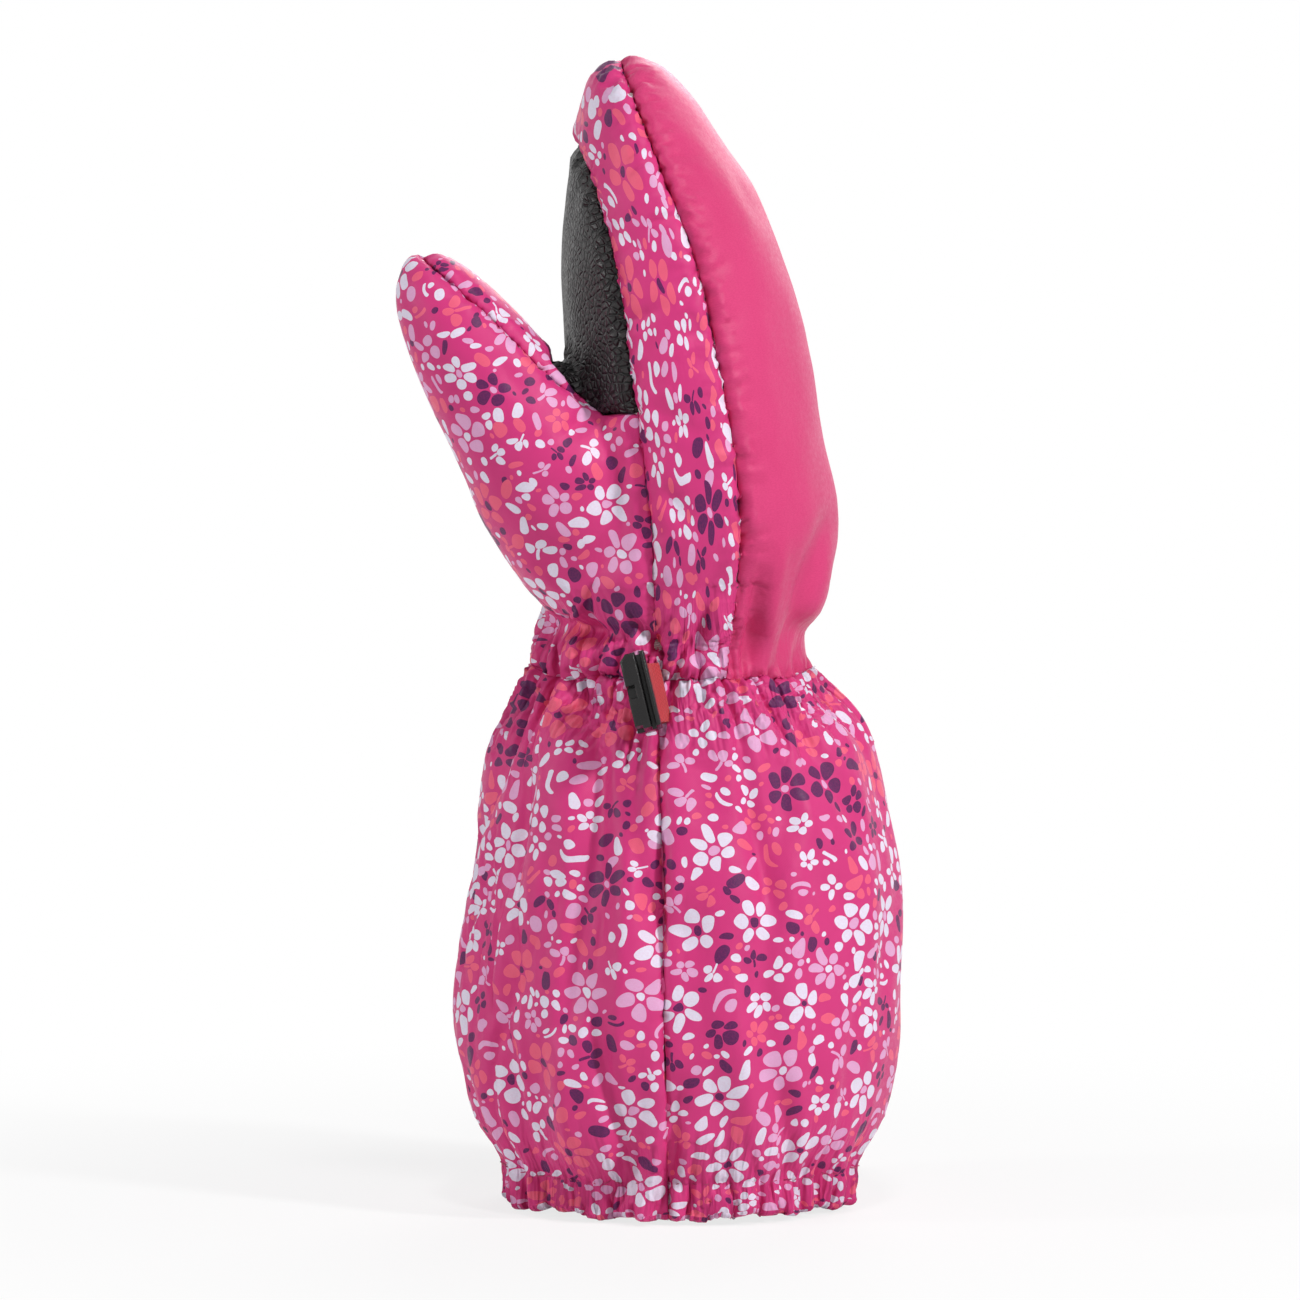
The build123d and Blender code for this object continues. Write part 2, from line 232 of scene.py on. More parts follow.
@dataclass
class ClothMesh:
    """A surface as plain arrays, in millimetres."""

    points: Array
    faces: List[Tuple[int, ...]]
    fabric: Optional[Array] = None  # one (u, v) in millimetres for each face corner

    def edges(self) -> Array:
        """Every face side as a pair of point numbers, shared sides twice."""
        pairs = [(f[i - 1], f[i]) for f in self.faces for i in range(len(f))]
        return np.array(pairs)

    def normals(self) -> Array:
        """The unit normal at each point, from the faces round it."""
        total = np.zeros_like(self.points)
        for corners in (3, 4, 5, 6):
            rows = np.array([f for f in self.faces if len(f) == corners])
            if not len(rows):
                continue
            across = self.points[rows[:, 2]] - self.points[rows[:, 0]]
            along = self.points[rows[:, -1]] - self.points[rows[:, 1]]
            facing = np.cross(across, along)
            for column in range(corners):
                np.add.at(total, rows[:, column], facing)
        return total / np.maximum(np.linalg.norm(total, axis=1, keepdims=True), 1e-12)

    def face_centres(self) -> Array:
        """The middle of each face."""
        return np.array([self.points[list(f)].mean(axis=0) for f in self.faces])

    def relaxed(self, weight: Array, rounds: int, points: Optional[Array] = None) -> Array:
        """The points drawn towards their neighbours' mean.

        Args:
            weight: How far each point gives way in a round, from 0 to 1.
            rounds: How many rounds.
            points: Other positions for this mesh's points, or values at them.

        Returns:
            New positions.
        """
        pairs = self.edges()
        moved = np.array(self.points if points is None else points, float)
        count = np.maximum(np.bincount(pairs.ravel(), minlength=len(moved)), 1)[:, None]
        share = weight[:, None]
        for _ in range(rounds):
            moved = moved + share * (neighbour_sum(moved, pairs[:, 0], pairs[:, 1]) / count - moved)
        return moved

    def part(self, wanted: Array) -> "ClothMesh":
        """The faces that are wanted, with only their own points.

        Args:
            wanted: True for each face to keep.

        Returns:
            A mesh of its own.
        """
        faces = [f for f, keep in zip(self.faces, wanted) if keep]
        used = np.unique(np.concatenate([np.array(f) for f in faces]))
        place = np.full(len(self.points), -1)
        place[used] = np.arange(len(used))
        fabric = None
        if self.fabric is not None:
            corners = np.repeat(wanted, [len(f) for f in self.faces])
            fabric = self.fabric[corners]
        return ClothMesh(self.points[used], [tuple(int(place[i]) for i in f) for f in faces], fabric)

    def joined(self, other: "ClothMesh") -> "ClothMesh":
        """This mesh and another as one."""
        shift = len(self.points)
        faces = self.faces + [tuple(i + shift for i in f) for f in other.faces]
        fabric = None
        if self.fabric is not None and other.fabric is not None:
            fabric = np.vstack([self.fabric, other.fabric])
        return ClothMesh(np.vstack([self.points, other.points]), faces, fabric)

    def build(self, name: str) -> Piece:
        """Makes a Blender object of it, in metres.

        Args:
            name: The object's name.

        Returns:
            The new object, in the scene.
        """
        mesh = bpy.data.meshes.new(name)
        mesh.from_pydata((self.points * MM).tolist(), [], self.faces)
        if self.fabric is not None:
            layer = mesh.uv_layers.new(name="Fabric")
            layer.data.foreach_set("uv", (self.fabric / FABRIC_UNIT).ravel())
        mesh.shade_smooth()
        made = bpy.data.objects.new(name, mesh)
        bpy.context.collection.objects.link(made)
        return made


def grid_mesh(rows: Array, closed: bool, fabric_rows: Optional[Array] = None) -> ClothMesh:
    """A sheet of quads through rows of points.

    Args:
        rows: (rows, columns, 3) positions, each row running the same way.
        closed: Whether the last column joins the first.
        fabric_rows: (rows, columns + closed, 2) places on the cloth, in millimetres.

    Returns:
        The sheet.
    """
    count, columns = rows.shape[:2]
    faces = []
    fabric = []
    for i in range(count - 1):
        for k in range(columns if closed else columns - 1):
            after = (k + 1) % columns
            a, b = i * columns + k, i * columns + after
            faces.append((a, b, b + columns, a + columns))
            if fabric_rows is not None:
                fabric += [fabric_rows[i, k], fabric_rows[i, k + 1]]
                fabric += [fabric_rows[i + 1, k + 1], fabric_rows[i + 1, k]]
    return ClothMesh(rows.reshape(-1, 3).copy(), faces, np.array(fabric) if fabric else None)


def close_ends(tube: ClothMesh, columns: int) -> None:
    """Adds a flat face at each end of a tube that is made of rings."""
    last = len(tube.points) - columns
    tube.faces += [tuple(range(columns - 1, -1, -1)), tuple(last + k for k in range(columns))]


def deselect() -> None:
    """Leaves edit mode and selects nothing."""
    if bpy.context.object and bpy.context.object.mode != "OBJECT":
        bpy.ops.object.mode_set(mode="OBJECT")
    bpy.ops.object.select_all(action="DESELECT")


def pick(piece: Piece) -> None:
    """Selects one object alone and makes it active."""
    deselect()
    piece.select_set(True)
    bpy.context.view_layer.objects.active = piece


def edit_all(piece: Piece, operation: Callable[..., object], **settings: object) -> None:
    """Runs one operator on a piece's whole mesh in edit mode.

    Args:
        piece: The piece.
        operation: The operator.
        **settings: What it is given.
    """
    pick(piece)
    bpy.ops.object.mode_set(mode="EDIT")
    bpy.ops.mesh.select_all(action="SELECT")
    operation(**settings)
    bpy.ops.object.mode_set(mode="OBJECT")


def apply_all(piece: Piece) -> None:
    """Applies every modifier of a piece in order."""
    pick(piece)
    for modifier in list(piece.modifiers):
        bpy.ops.object.modifier_apply(modifier=modifier.name)


def give_wall(piece: Piece, thickness: float, offset: float = -1.0) -> None:
    """Gives a sheet its thickness.

    Args:
        piece: The sheet.
        thickness: Wall in millimetres.
        offset: -1 puts the wall inside the surface, 1 outside, 0 both.
    """
    wall = piece.modifiers.new("wall", "SOLIDIFY")
    wall.thickness = thickness * MM
    wall.offset = offset
    wall.use_even_offset = False
    wall.use_quality_normals = True
    apply_all(piece)


def soften_edges(piece: Piece, width: float, segments: int, angle: float) -> None:
    """Rounds the sharp edges of a piece.

    Args:
        piece: The piece.
        width: Width of the rounding, in millimetres.
        segments: How many facets it has.
        angle: Least angle of an edge that is rounded, in degrees.
    """
    soft = piece.modifiers.new("soft_edge", "BEVEL")
    soft.width = width * MM
    soft.segments = segments
    soft.limit_method = "ANGLE"
    soft.angle_limit = math.radians(angle)
    apply_all(piece)


# --- The mitten's forms ---


class Panel(Enum):
    """The outer pieces of cloth and leather, by their CAD nodes."""

    CUFF_PALM = "cuff_palm_panel"
    CUFF_BACK = "cuff_back_panel"
    BACK = "back_panel"
    GUSSET = "side_gusset"
    PALM = "palm_patch"
    HEEL = "palm_heel"
    THUMB_OUTER = "thumb_outer_panel"
    THUMB_INNER = "thumb_inner_panel"


PANELS = list(Panel)
CUFF_PANELS = (Panel.CUFF_PALM, Panel.CUFF_BACK)
HAND_PANELS = tuple(panel for panel in Panel if panel not in CUFF_PANELS)
GUSSET = PANELS.index(Panel.GUSSET)


@dataclass
class MittenForm:
    """The unfolded shape of the mitten: its level sections, its thumb and its seam lines."""

    shift_x: float = 0.0
    shift_y: float = 0.0
    wrist: float = 122.0
    hem: float = 1.5
    leather_bottom: float = 150.0
    # height, palm side x, back side x, half width
    stations: Tuple[Section, ...] = (
        (0, -33.9, 47, 38),
        (10.5, -34.8, 48.2, 39),
        (22, -39.8, 52.7, 43),
        (44, -44.1, 56.3, 46.6),
        (68, -41.4, 55.8, 45.6),
        (90, -37.3, 52.4, 42.4),
        (107, -32.6, 47.2, 38.2),
        (122, -24.4, 35.4, 34.0),
        (129.5, -23.2, 34.6, 33.2),
        (138, -22.4, 39.4, 36.4),
        (156, -20.2, 42.4, 41.4),
        (174, -19.2, 39.0, 42.4),
        (194, -19.6, 35.6, 41.0),
        (214, -20.6, 30.4, 38.0),
        (230, -19.6, 23.4, 34.2),
        (239, -18.0, 17.6, 30.4),
        (248, -16.6, 11.8, 24.4),
        (255, -14.4, 6.0, 16.2),
        (258.6, -10.6, 1.8, 8.6),
        (260, -6.4, -2.2, 3.0),
    )
    thumb_lean: float = math.radians(33.0)
    thumb_tip_x: float = -53.6
    thumb_tip_z: float = 215.7
    # distance from the tip, half thickness, half depth, middle y
    thumb_stations: Tuple[Section, ...] = (
        (0, 2.0, 2.2, -21),
        (3.4, 6.4, 7.2, -21),
        (9, 9.6, 11.0, -21),
        (16, 11.7, 13.6, -21),
        (30, 14.4, 16.4, -20.4),
        (46, 16.8, 18.2, -19.4),
        (60, 19.0, 19.4, -18),
        (75, 19.4, 18.4, -15),
        (88, 16.0, 14.0, -11),
    )
    palm_seam: Curve = ((120, 1.6), (156, -0.7), (182, -4.3), (208, -7.5), (230.6, -13.3), (249, -22.0))
    back_seam: Curve = ((120, 16.0), (156, 20.4), (203.5, 13.6), (220.5, 8.8), (237.4, 2.0), (264, -8.6))
    cuff_seam: Curve = ((-2, 3.9), (123, 1.6))
    # the thumb's seam as x, height, from its tip to the crotch
    thumb_seam: Curve = ((-52, 217.5), (-38, 206), (-27, 195.3), (-18.5, 187.2), (-11, 182.8))
    web_x: float = -21.4
    web_z: float = 193.0
    crotch_x: float = -11.5
    crotch_z: float = 182.0
    heel_seam_y: float = -3.0
    heel_seam_lean: float = math.radians(10.0)
    body_columns: int = 120
    thumb_columns: int = 60
    ring_step: float = 2.0
    thumb_tip_rings: Tuple[float, ...] = (3.0, 2.0, 1.0, 0.4, 0.0)
    root_blend: float = 7.0  # how far the thumb's root is blended into the hand
    blend_travel: float = 28.0  # rounds of blending times the mesh size

    def section(self, z: Array) -> Tuple[Array, Array, Array, Array]:
        """The level section at each height.

        Args:
            z: Heights.

        Returns:
            Middle x, half depth in x, half width in y, and the mean radius.
        """
        palm, back, width = read_sections(self.stations, z)
        middle, depth = (palm + back) / 2, (back - palm) / 2
        return middle, depth, width, (depth + width) / 2

    def body_point(self, z: Array, turn: Array, inset: Array | float = 0.0) -> Array:
        """Points of the cuff and hand at a height and a turn round them.

        Args:
            z: Heights.
            turn: Angles; 0 is the back of the hand and a quarter turn the far side.
            inset: How far inside the surface.

        Returns:
            (n, 3) points in the frame.
        """
        middle, depth, width, _ = self.section(z)
        x = middle + (depth - inset) * np.cos(turn) + self.shift_x
        y = (width - inset) * np.sin(turn) + self.shift_y
        return np.stack([x, y, np.broadcast_to(z, np.shape(x))], axis=-1)

    def turn_of(self, points: Array) -> Array:
        """The turn round the cuff or hand at each point."""
        middle, depth, width, _ = self.section(points[:, 2])
        x = (points[:, 0] - self.shift_x - middle) / depth
        return np.arctan2((points[:, 1] - self.shift_y) / width, x)

    def off_body(self, points: Array) -> Array:
        """Roughly how far each point is outside the hand and cuff."""
        middle, depth, width, mean = self.section(points[:, 2])
        x = (points[:, 0] - self.shift_x - middle) / depth
        y = (points[:, 1] - self.shift_y) / width
        return (np.hypot(x, y) - 1) * mean

    def thumb_place(self, points: Array) -> Tuple[Array, Array, Array]:
        """Where points lie on the thumb.

        Args:
            points: (n, 3) positions.

        Returns:
            The distance down from the tip, the distance across the lean, and y.
        """
        x = points[:, 0] - self.shift_x - self.thumb_tip_x
        z = points[:, 2] - self.thumb_tip_z
        sine, cosine = math.sin(self.thumb_lean), math.cos(self.thumb_lean)
        return x * sine - z * cosine, x * cosine + z * sine, points[:, 1] - self.shift_y

    def off_thumb(self, points: Array) -> Array:
        """Roughly how far each point is outside the thumb."""
        down, across, y = self.thumb_place(points)
        thick, deep, mid = read_sections(self.thumb_stations, down)
        reach = (np.hypot(across / thick, (y - mid) / deep) - 1) * (thick + deep) / 2
        return np.maximum(reach, -down)

    def thumb_point(self, down: Array, turn: Array, inset: float = 0.0) -> Array:
        """Points of the thumb.

        Args:
            down: Distances from its tip.
            turn: Turns round it.
            inset: How far inside the surface.

        Returns:
            (n, 3) points in the frame.
        """
        thick, deep, mid = read_sections(self.thumb_stations, down)
        across = (thick - inset) * np.cos(turn)
        sine, cosine = math.sin(self.thumb_lean), math.cos(self.thumb_lean)
        x = self.thumb_tip_x + down * sine + across * cosine + self.shift_x
        z = self.thumb_tip_z - down * cosine + across * sine
        return np.stack([x, mid + (deep - inset) * np.sin(turn) + self.shift_y, z], axis=-1)

    def beside(self, seam: Curve, points: Array) -> Array:
        """How far each point is to the back side of a seam that is drawn on the side view."""
        return points[:, 0] - self.shift_x - read_curve(seam, points[:, 2])

    def above_thumb_seam(self, points: Array) -> Array:
        """How far each point is above the thumb's seam."""
        return points[:, 2] - read_curve(self.thumb_seam, points[:, 0] - self.shift_x)

    def outside_heel(self, points: Array) -> Array:
        """Below 0 inside the space of the printed thumb and heel, above 0 outside it."""
        x, y, z = points[:, 0] - self.shift_x, points[:, 1] - self.shift_y, points[:, 2]
        edge = read_curve(((self.crotch_z, self.crotch_x), (self.web_z, self.web_x)), z)
        low_or_left = np.minimum(z - self.crotch_z, x - edge)
        seam_y = self.heel_seam_y + np.tan(self.heel_seam_lean) * (z - self.wrist)
        return np.maximum(low_or_left, y - seam_y)

    def panel_of(self, points: Array) -> Array:
        """The outer piece that each point belongs to.

        Args:
            points: (n, 3) positions on the surface.

        Returns:
            The panel's place in the order of Panel.
        """
        cuff = points[:, 2] < self.wrist
        back = self.beside(self.back_seam, points) > 0
        gusset = self.beside(self.palm_seam, points) > 0
        thumb = self.outside_heel(points) < 0
        rules = (
            (cuff & (self.beside(self.cuff_seam, points) > 0), Panel.CUFF_BACK),
            (cuff, Panel.CUFF_PALM),
            (back, Panel.BACK),
            (gusset, Panel.GUSSET),
            (thumb & (self.above_thumb_seam(points) > 0), Panel.THUMB_INNER),
            (thumb, Panel.THUMB_OUTER),
            (points[:, 2] > self.leather_bottom, Panel.PALM),
        )
        places = [PANELS.index(panel) for _, panel in rules]
        return np.select([rule for rule, _ in rules], places, PANELS.index(Panel.HEEL))

    def on_hand(self, value: Field) -> Field:
        """A seam's field, kept off below the wrist."""
        return lambda p: np.where(p[:, 2] > self.wrist - ON_LINE, value(p), -OFF_SEAM)

    def hand_seam(self, seam: Curve) -> Field:
        """The field of a long seam of the hand."""
        return self.on_hand(partial(self.beside, seam))

    def palmward(self, seam: Curve, value: Field) -> Field:
        """A seam's field, kept off behind another seam."""
        return lambda p: np.where(self.beside(seam, p) < ON_LINE, value(p), -OFF_SEAM)

    def seam_fields(self) -> List[Field]:
        """The seams as fields that are 0 on the seam, each kept off where it doesn't run."""

        def cuff_side(p: Array) -> Array:
            """The seam down the cuff."""
            return np.where(p[:, 2] < self.wrist + ON_LINE, self.beside(self.cuff_seam, p), OFF_SEAM)

        def leather_edge(p: Array) -> Array:
            """The lower edge of the leather."""
            return np.where(self.outside_heel(p) > -ON_LINE, p[:, 2] - self.leather_bottom, OFF_SEAM)

        def thumb_seam(p: Array) -> Array:
            """The seam along the thumb."""
            return np.where(self.outside_heel(p) < ON_LINE, self.above_thumb_seam(p), -OFF_SEAM)

        palm_seams = (self.outside_heel, leather_edge, thumb_seam)
        return [
            lambda p: p[:, 2] - self.wrist,
            cuff_side,
            self.hand_seam(self.palm_seam),
            self.hand_seam(self.back_seam),
            *[self.on_hand(self.palmward(self.palm_seam, value)) for value in palm_seams],
        ]

    def rough_body(self, inset: float, bottom: float) -> Piece:
        """Hand, cuff and thumb as two crossing closed tubes in one object.

        Args:
            inset: How far inside the outer surface.
            bottom: The height at which the body starts.

        Returns:
            The object, with flat caps.
        """
        top = self.stations[-1][0] - inset
        upright = np.arange(bottom, top - 1.0, self.ring_step)
        levels = np.concatenate([upright, [top - 0.9, top - 0.3, top]])
        root = self.thumb_stations[-1][0]
        slope = np.arange(root, self.thumb_tip_rings[0], -self.ring_step)
        downs = np.concatenate([slope, self.thumb_tip_rings]) + inset
        tubes = []
        for point_at, places, columns in (
            (self.body_point, levels, self.body_columns),
            (self.thumb_point, downs[downs <= root], self.thumb_columns),
        ):
            turns = np.arange(columns) * math.tau / columns
            rings = np.stack([point_at(np.full(columns, place), turns, inset) for place in places])
            tubes.append(grid_mesh(rings, True))
            close_ends(tubes[-1], columns)
        piece = tubes[0].joined(tubes[1]).build("rough")
        edit_all(piece, bpy.ops.mesh.normals_make_consistent, inside=False)
        return piece

    def skin(self, voxel: float, inset: float = 0.0, bottom: float = 0.0) -> Piece:
        """One smooth closed skin over hand, cuff and thumb, with a blended thumb root.

        Args:
            voxel: Size of its mesh.
            inset: How far inside the outer surface.
            bottom: The height at which it starts.

        Returns:
            The skin as an object.
        """
        piece = self.rough_body(inset, bottom)
        piece.data.remesh_voxel_size = voxel * MM
        piece.data.remesh_voxel_adaptivity = 0
        bpy.ops.object.voxel_remesh()
        made = read_mesh(piece)
        near = np.abs(self.off_body(made.points) + inset) + np.abs(self.off_thumb(made.points) + inset)
        cap = made.points[:, 2] > bottom + 2 * voxel
        made.points = made.relaxed(0.5 * cap, 4)
        blend = 0.6 * bell(near, self.root_blend) * cap
        made.points = made.relaxed(blend, round(self.blend_travel / voxel))
        piece.data.vertices.foreach_set("co", (made.points * MM).ravel())
        piece.data.update()
        return piece


def read_mesh(piece: Piece) -> ClothMesh:
    """The mesh of an object as arrays, in millimetres.

    Args:
        piece: The object, at the origin.

    Returns:
        Its points, faces and fabric map.
    """
    mesh = piece.data
    points = np.empty(len(mesh.vertices) * 3)
    mesh.vertices.foreach_get("co", points)
    corners = np.empty(len(mesh.loops), int)
    mesh.loops.foreach_get("vertex_index", corners)
    starts = np.empty(len(mesh.polygons), int)
    totals = np.empty(len(mesh.polygons), int)
    mesh.polygons.foreach_get("loop_start", starts)
    mesh.polygons.foreach_get("loop_total", totals)
    faces = [tuple(corners[s : s + n].tolist()) for s, n in zip(starts, totals)]
    fabric = None
    if mesh.uv_layers:
        flat = np.empty(len(mesh.loops) * 2)
        mesh.uv_layers[0].data.foreach_get("uv", flat)
        fabric = flat.reshape(-1, 2) * FABRIC_UNIT
    return ClothMesh(points.reshape(-1, 3) / MM, faces, fabric)


class Cutter:
    """Cuts a skin along seam lines, so that every seam is a line of edges."""

    NEAR_END = 0.14  # share of an edge within which its end is moved instead of the edge split

    def __init__(self, piece: Piece) -> None:
        """Starts on an object's mesh."""
        self.piece = piece
        self.mesh = bmesh.new()
        self.mesh.from_mesh(piece.data)

    def along(self, value_at: Field) -> None:
        """Cuts where a field is 0.

        Args:
            value_at: The field, for (n, 3) points in millimetres.
        """
        points = np.array([v.co for v in self.mesh.verts]) / MM
        values = dict(zip(self.mesh.verts, value_at(points).tolist()))
        crossing = [e for e in self.mesh.edges if values[e.verts[0]] * values[e.verts[1]] < 0]
        for edge in crossing:
            a, b = edge.verts
            if values[a] * values[b] >= 0:
                continue
            share = values[a] / (values[a] - values[b])
            if share < self.NEAR_END:
                a.co = a.co.lerp(b.co, share)
                values[a] = 0.0
            elif share > 1 - self.NEAR_END:
                b.co = a.co.lerp(b.co, share)
                values[b] = 0.0
            else:
                _, made = bmesh.utils.edge_split(edge, a, share)
                values[made] = 0.0
        # dicts and not sets, which would put them in another order each run
        on_line = dict.fromkeys(v for v, value in values.items() if value == 0.0)
        touched = dict.fromkeys(f for v in on_line for f in v.link_faces)
        for face in touched:
            ends = [v for v in face.verts if v in on_line]
            if len(ends) == 2 and not any(e.other_vert(ends[0]) is ends[1] for e in ends[0].link_edges):
                bmesh.utils.face_split(face, ends[0], ends[1])

    def refine(self, low: float, high: float) -> None:
        """Halves the faces between two heights, for narrow folds."""
        zone = [f for f in self.mesh.faces if low * MM < f.calc_center_median().z < high * MM]
        sides = list(dict.fromkeys(e for f in zone for e in f.edges))
        bmesh.ops.subdivide_edges(self.mesh, edges=sides, cuts=1, use_grid_fill=True)

    def drop_below(self, height: float) -> None:
        """Removes the faces whose middle is below a height."""
        low = [f for f in self.mesh.faces if f.calc_center_median().z < height * MM]
        bmesh.ops.delete(self.mesh, geom=low, context="FACES")

    def done(self) -> None:
        """Writes the cut mesh back."""
        self.mesh.to_mesh(self.piece.data)
        self.mesh.free()
        self.piece.data.update()


# --- Folds ---


@dataclass(frozen=True)
class Gathers:
    """Puffy folds that run away from a gathered line, each of its own height and length."""

    line: float
    count: int
    height: float
    reach_up: float
    reach_down: float
    seed: int
    sharpness: float = 0.75

    def lift(self, turn: Array, z: Array) -> Array:
        """How far the folds stand out.

        Args:
            turn: Turn round the mitten.
            z: Height.

        Returns:
            Millimetres, from 0 in the valleys.
        """
        waver = 0.5 * np.sin(3 * turn + self.seed + z * 0.05)
        waver = waver + 0.35 * np.sin(7 * turn + 2.1 * self.seed - z * 0.04)
        place = turn / math.tau * self.count + waver
        fold = np.mod(np.floor(place), self.count)
        across = place - np.floor(place)
        seed = np.full(np.shape(fold), self.seed)
        strength = 0.3 + 0.7 * scatter(fold, seed)
        away = z - self.line
        reach = np.where(away > 0, self.reach_up, self.reach_down) * (0.45 + 1.1 * scatter(fold, seed + 5))
        profile = np.sin(np.pi * across) ** self.sharpness
        return self.height * strength * profile * bell(away, reach)


@dataclass(frozen=True)
class Crease:
    """One soft fold drawn on the side view, as a groove or a ridge in the cloth of the thumb side."""

    start: Tuple[float, float]  # x, height
    end: Tuple[float, float]
    lift: float  # below 0 for a groove
    width: float

    def at(self, points: Array, out: Array) -> Array:
        """How far the fold moves each point along its normal.

        Args:
            points: (n, 3) positions, without the frame's shift.
            out: (n, 3) normals.

        Returns:
            Millimetres.
        """
        a, b = np.array(self.start), np.array(self.end)
        flat = points[:, [0, 2]] - a
        along = np.clip(flat @ (b - a) / ((b - a) @ (b - a)), 0, 1)
        distance = np.linalg.norm(flat - along[:, None] * (b - a), axis=1)
        fade = np.sin(np.pi * np.clip(along * 0.86 + 0.07, 0, 1)) ** 0.7
        near = smoothstep(-0.1, 0.35, -out[:, 1])
        return self.lift * fade * bell(distance, self.width) * near


@dataclass
class Folds:
    """All the folds of the cloth that follow the height and the turn."""

    stitch_line: float = 9.6
    stitch_depth: float = 0.9
    stitch_width: float = 1.3
    drawn_share: float = 0.42  # how far a gathered line is drawn in, as a share of its folds' height
    drawn_width: float = 9.0
    palm_bias: float = 0.3  # how much fuller the palm side gathers than the back
    lift_share: float = 0.78
    spare_share: float = 0.8
    wrist_line: float = 123.0
    wrist_spare: float = 0.85
    wrist_reach: Tuple[float, float] = (9.0, 13.0)  # above and below the line
    hem_line: float = 3.0
    hem_spare: float = 0.5
    hem_reach: float = 8.0
    cuff_spare: float = 0.12
    mean_hem_rise: float = 1.45
    mid_cuff: float = 60.0  # gathers above this height belong to the wrist
    layers: Tuple[Gathers, ...] = (
        Gathers(125.0, 37, 4.2, 10.0, 9.0, 3, 0.7),
        Gathers(122.0, 21, 5.0, 17.0, 23.0, 8, 0.8),
        Gathers(116.0, 12, 4.2, 20.0, 64.0, 14, 0.9),
        Gathers(4.0, 41, 2.8, 7.0, 10.0, 21, 0.7),
        Gathers(6.0, 23, 3.8, 19.0, 12.0, 27, 0.85),
        Gathers(8.0, 13, 3.2, 46.0, 14.0, 33, 0.9),
    )

    def lift(self, turn: Array, z: Array) -> Array:
        """How far the cloth stands out from its form.

        Args:
            turn: Turn round the mitten.
            z: Height.

        Returns:
            Millimetres; below 0 where an elastic or a stitch line draws it in.
        """
        palm_share = self.palm_share(turn, z, self.lift_share)
        total = np.zeros(np.shape(turn))
        for layer in self.layers:
            share = palm_share if layer.line > self.mid_cuff else 1.0
            drawn = self.drawn_share * layer.height * bell(z - layer.line, self.drawn_width)
            total = total + share * (layer.lift(turn, z) - drawn)
        return total - self.stitch_depth * bell(z - self.stitch_line, self.stitch_width)

    def palm_share(self, turn: Array, z: Array, middle: float) -> Array:
        """How fully the cloth gathers at a place.

        Args:
            turn: Turn round the mitten.
            z: Height.
            middle: The share at the mitten's sides.

        Returns:
            The share, more on the palm side and less on the back.
        """
        return (middle - self.palm_bias * np.cos(turn)) * self.eased(turn, z)

    def eased(self, turn: Array, z: Array) -> Array:
        """The share of the gathers left above the wrist seam, where the back panel lies smooth."""
        back = smoothstep(0.1, 0.6, np.cos(turn))
        return 1 - 0.9 * back * smoothstep(121.0, 125.0, z)

    def spare(self, turn: Array, z: Array) -> Array:
        """How much wider the cut cloth is than the form at a place, as a share."""
        palm_share = self.palm_share(turn, z, self.spare_share)
        reach = np.where(z > self.wrist_line, *self.wrist_reach)
        wrist = self.wrist_spare * bell(z - self.wrist_line, reach) * palm_share
        hem = self.hem_spare * bell(z - self.hem_line, self.hem_reach)
        cuff = self.cuff_spare * smoothstep(6.0, 20.0, z) * (1 - smoothstep(112.0, 130.0, z)) * palm_share
        return wrist + hem + cuff

    def hem_rise(self, turn: Array) -> Array:
        """How far the hem's lower edge is drawn up at a turn."""
        slow = 0.45 * np.sin(5 * turn + 1.0) + 0.4 * np.sin(11 * turn + 2.0)
        return self.mean_hem_rise + slow + 0.35 * np.sin(26 * turn + 2 * np.sin(5 * turn))


@dataclass(frozen=True)
class SeamPull:
    """How a seam draws its cloth in, with short puckers across it."""

    depth: float
    width: float
    pucker: float
    spacing: float
    reach: float
    seed: int


class Seam(Enum):
    """The seams, each as the pairs of outer pieces it joins and how it pulls."""

    BACK = (((Panel.BACK, Panel.GUSSET),), SeamPull(0.95, 1.5, 0.75, 5.6, 7.0, 1))
    PALM = (
        tuple((Panel.GUSSET, other) for other in (Panel.PALM, Panel.HEEL, Panel.THUMB_OUTER)),
        SeamPull(1.35, 1.9, 0.5, 7.5, 7.0, 2),
    )
    HEEL = (
        ((Panel.PALM, Panel.THUMB_OUTER), (Panel.HEEL, Panel.THUMB_OUTER), (Panel.PALM, Panel.THUMB_INNER)),
        SeamPull(1.1, 1.7, 0.5, 6.5, 6.0, 3),
    )
    THUMB = (((Panel.THUMB_OUTER, Panel.THUMB_INNER),), SeamPull(0.8, 1.5, 0.6, 5.0, 6.0, 4))
    LEATHER = (((Panel.PALM, Panel.HEEL),), SeamPull(0.7, 1.4, 0.3, 7.0, 5.0, 5))
    CUFF_SIDE = ((CUFF_PANELS,), SeamPull(0.95, 1.3, 0.4, 8.5, 6.0, 6))
    WRIST = (tuple(product(CUFF_PANELS, HAND_PANELS)), SeamPull(0.9, 1.4, 0.3, 4.0, 3.0, 7))

    def pull(self) -> SeamPull:
        """How this seam draws in."""
        return self.value[1]

    def holds(self, pair: Tuple[Panel, Panel]) -> bool:
        """Whether this seam joins a pair of panels."""
        return pair in self.value[0]


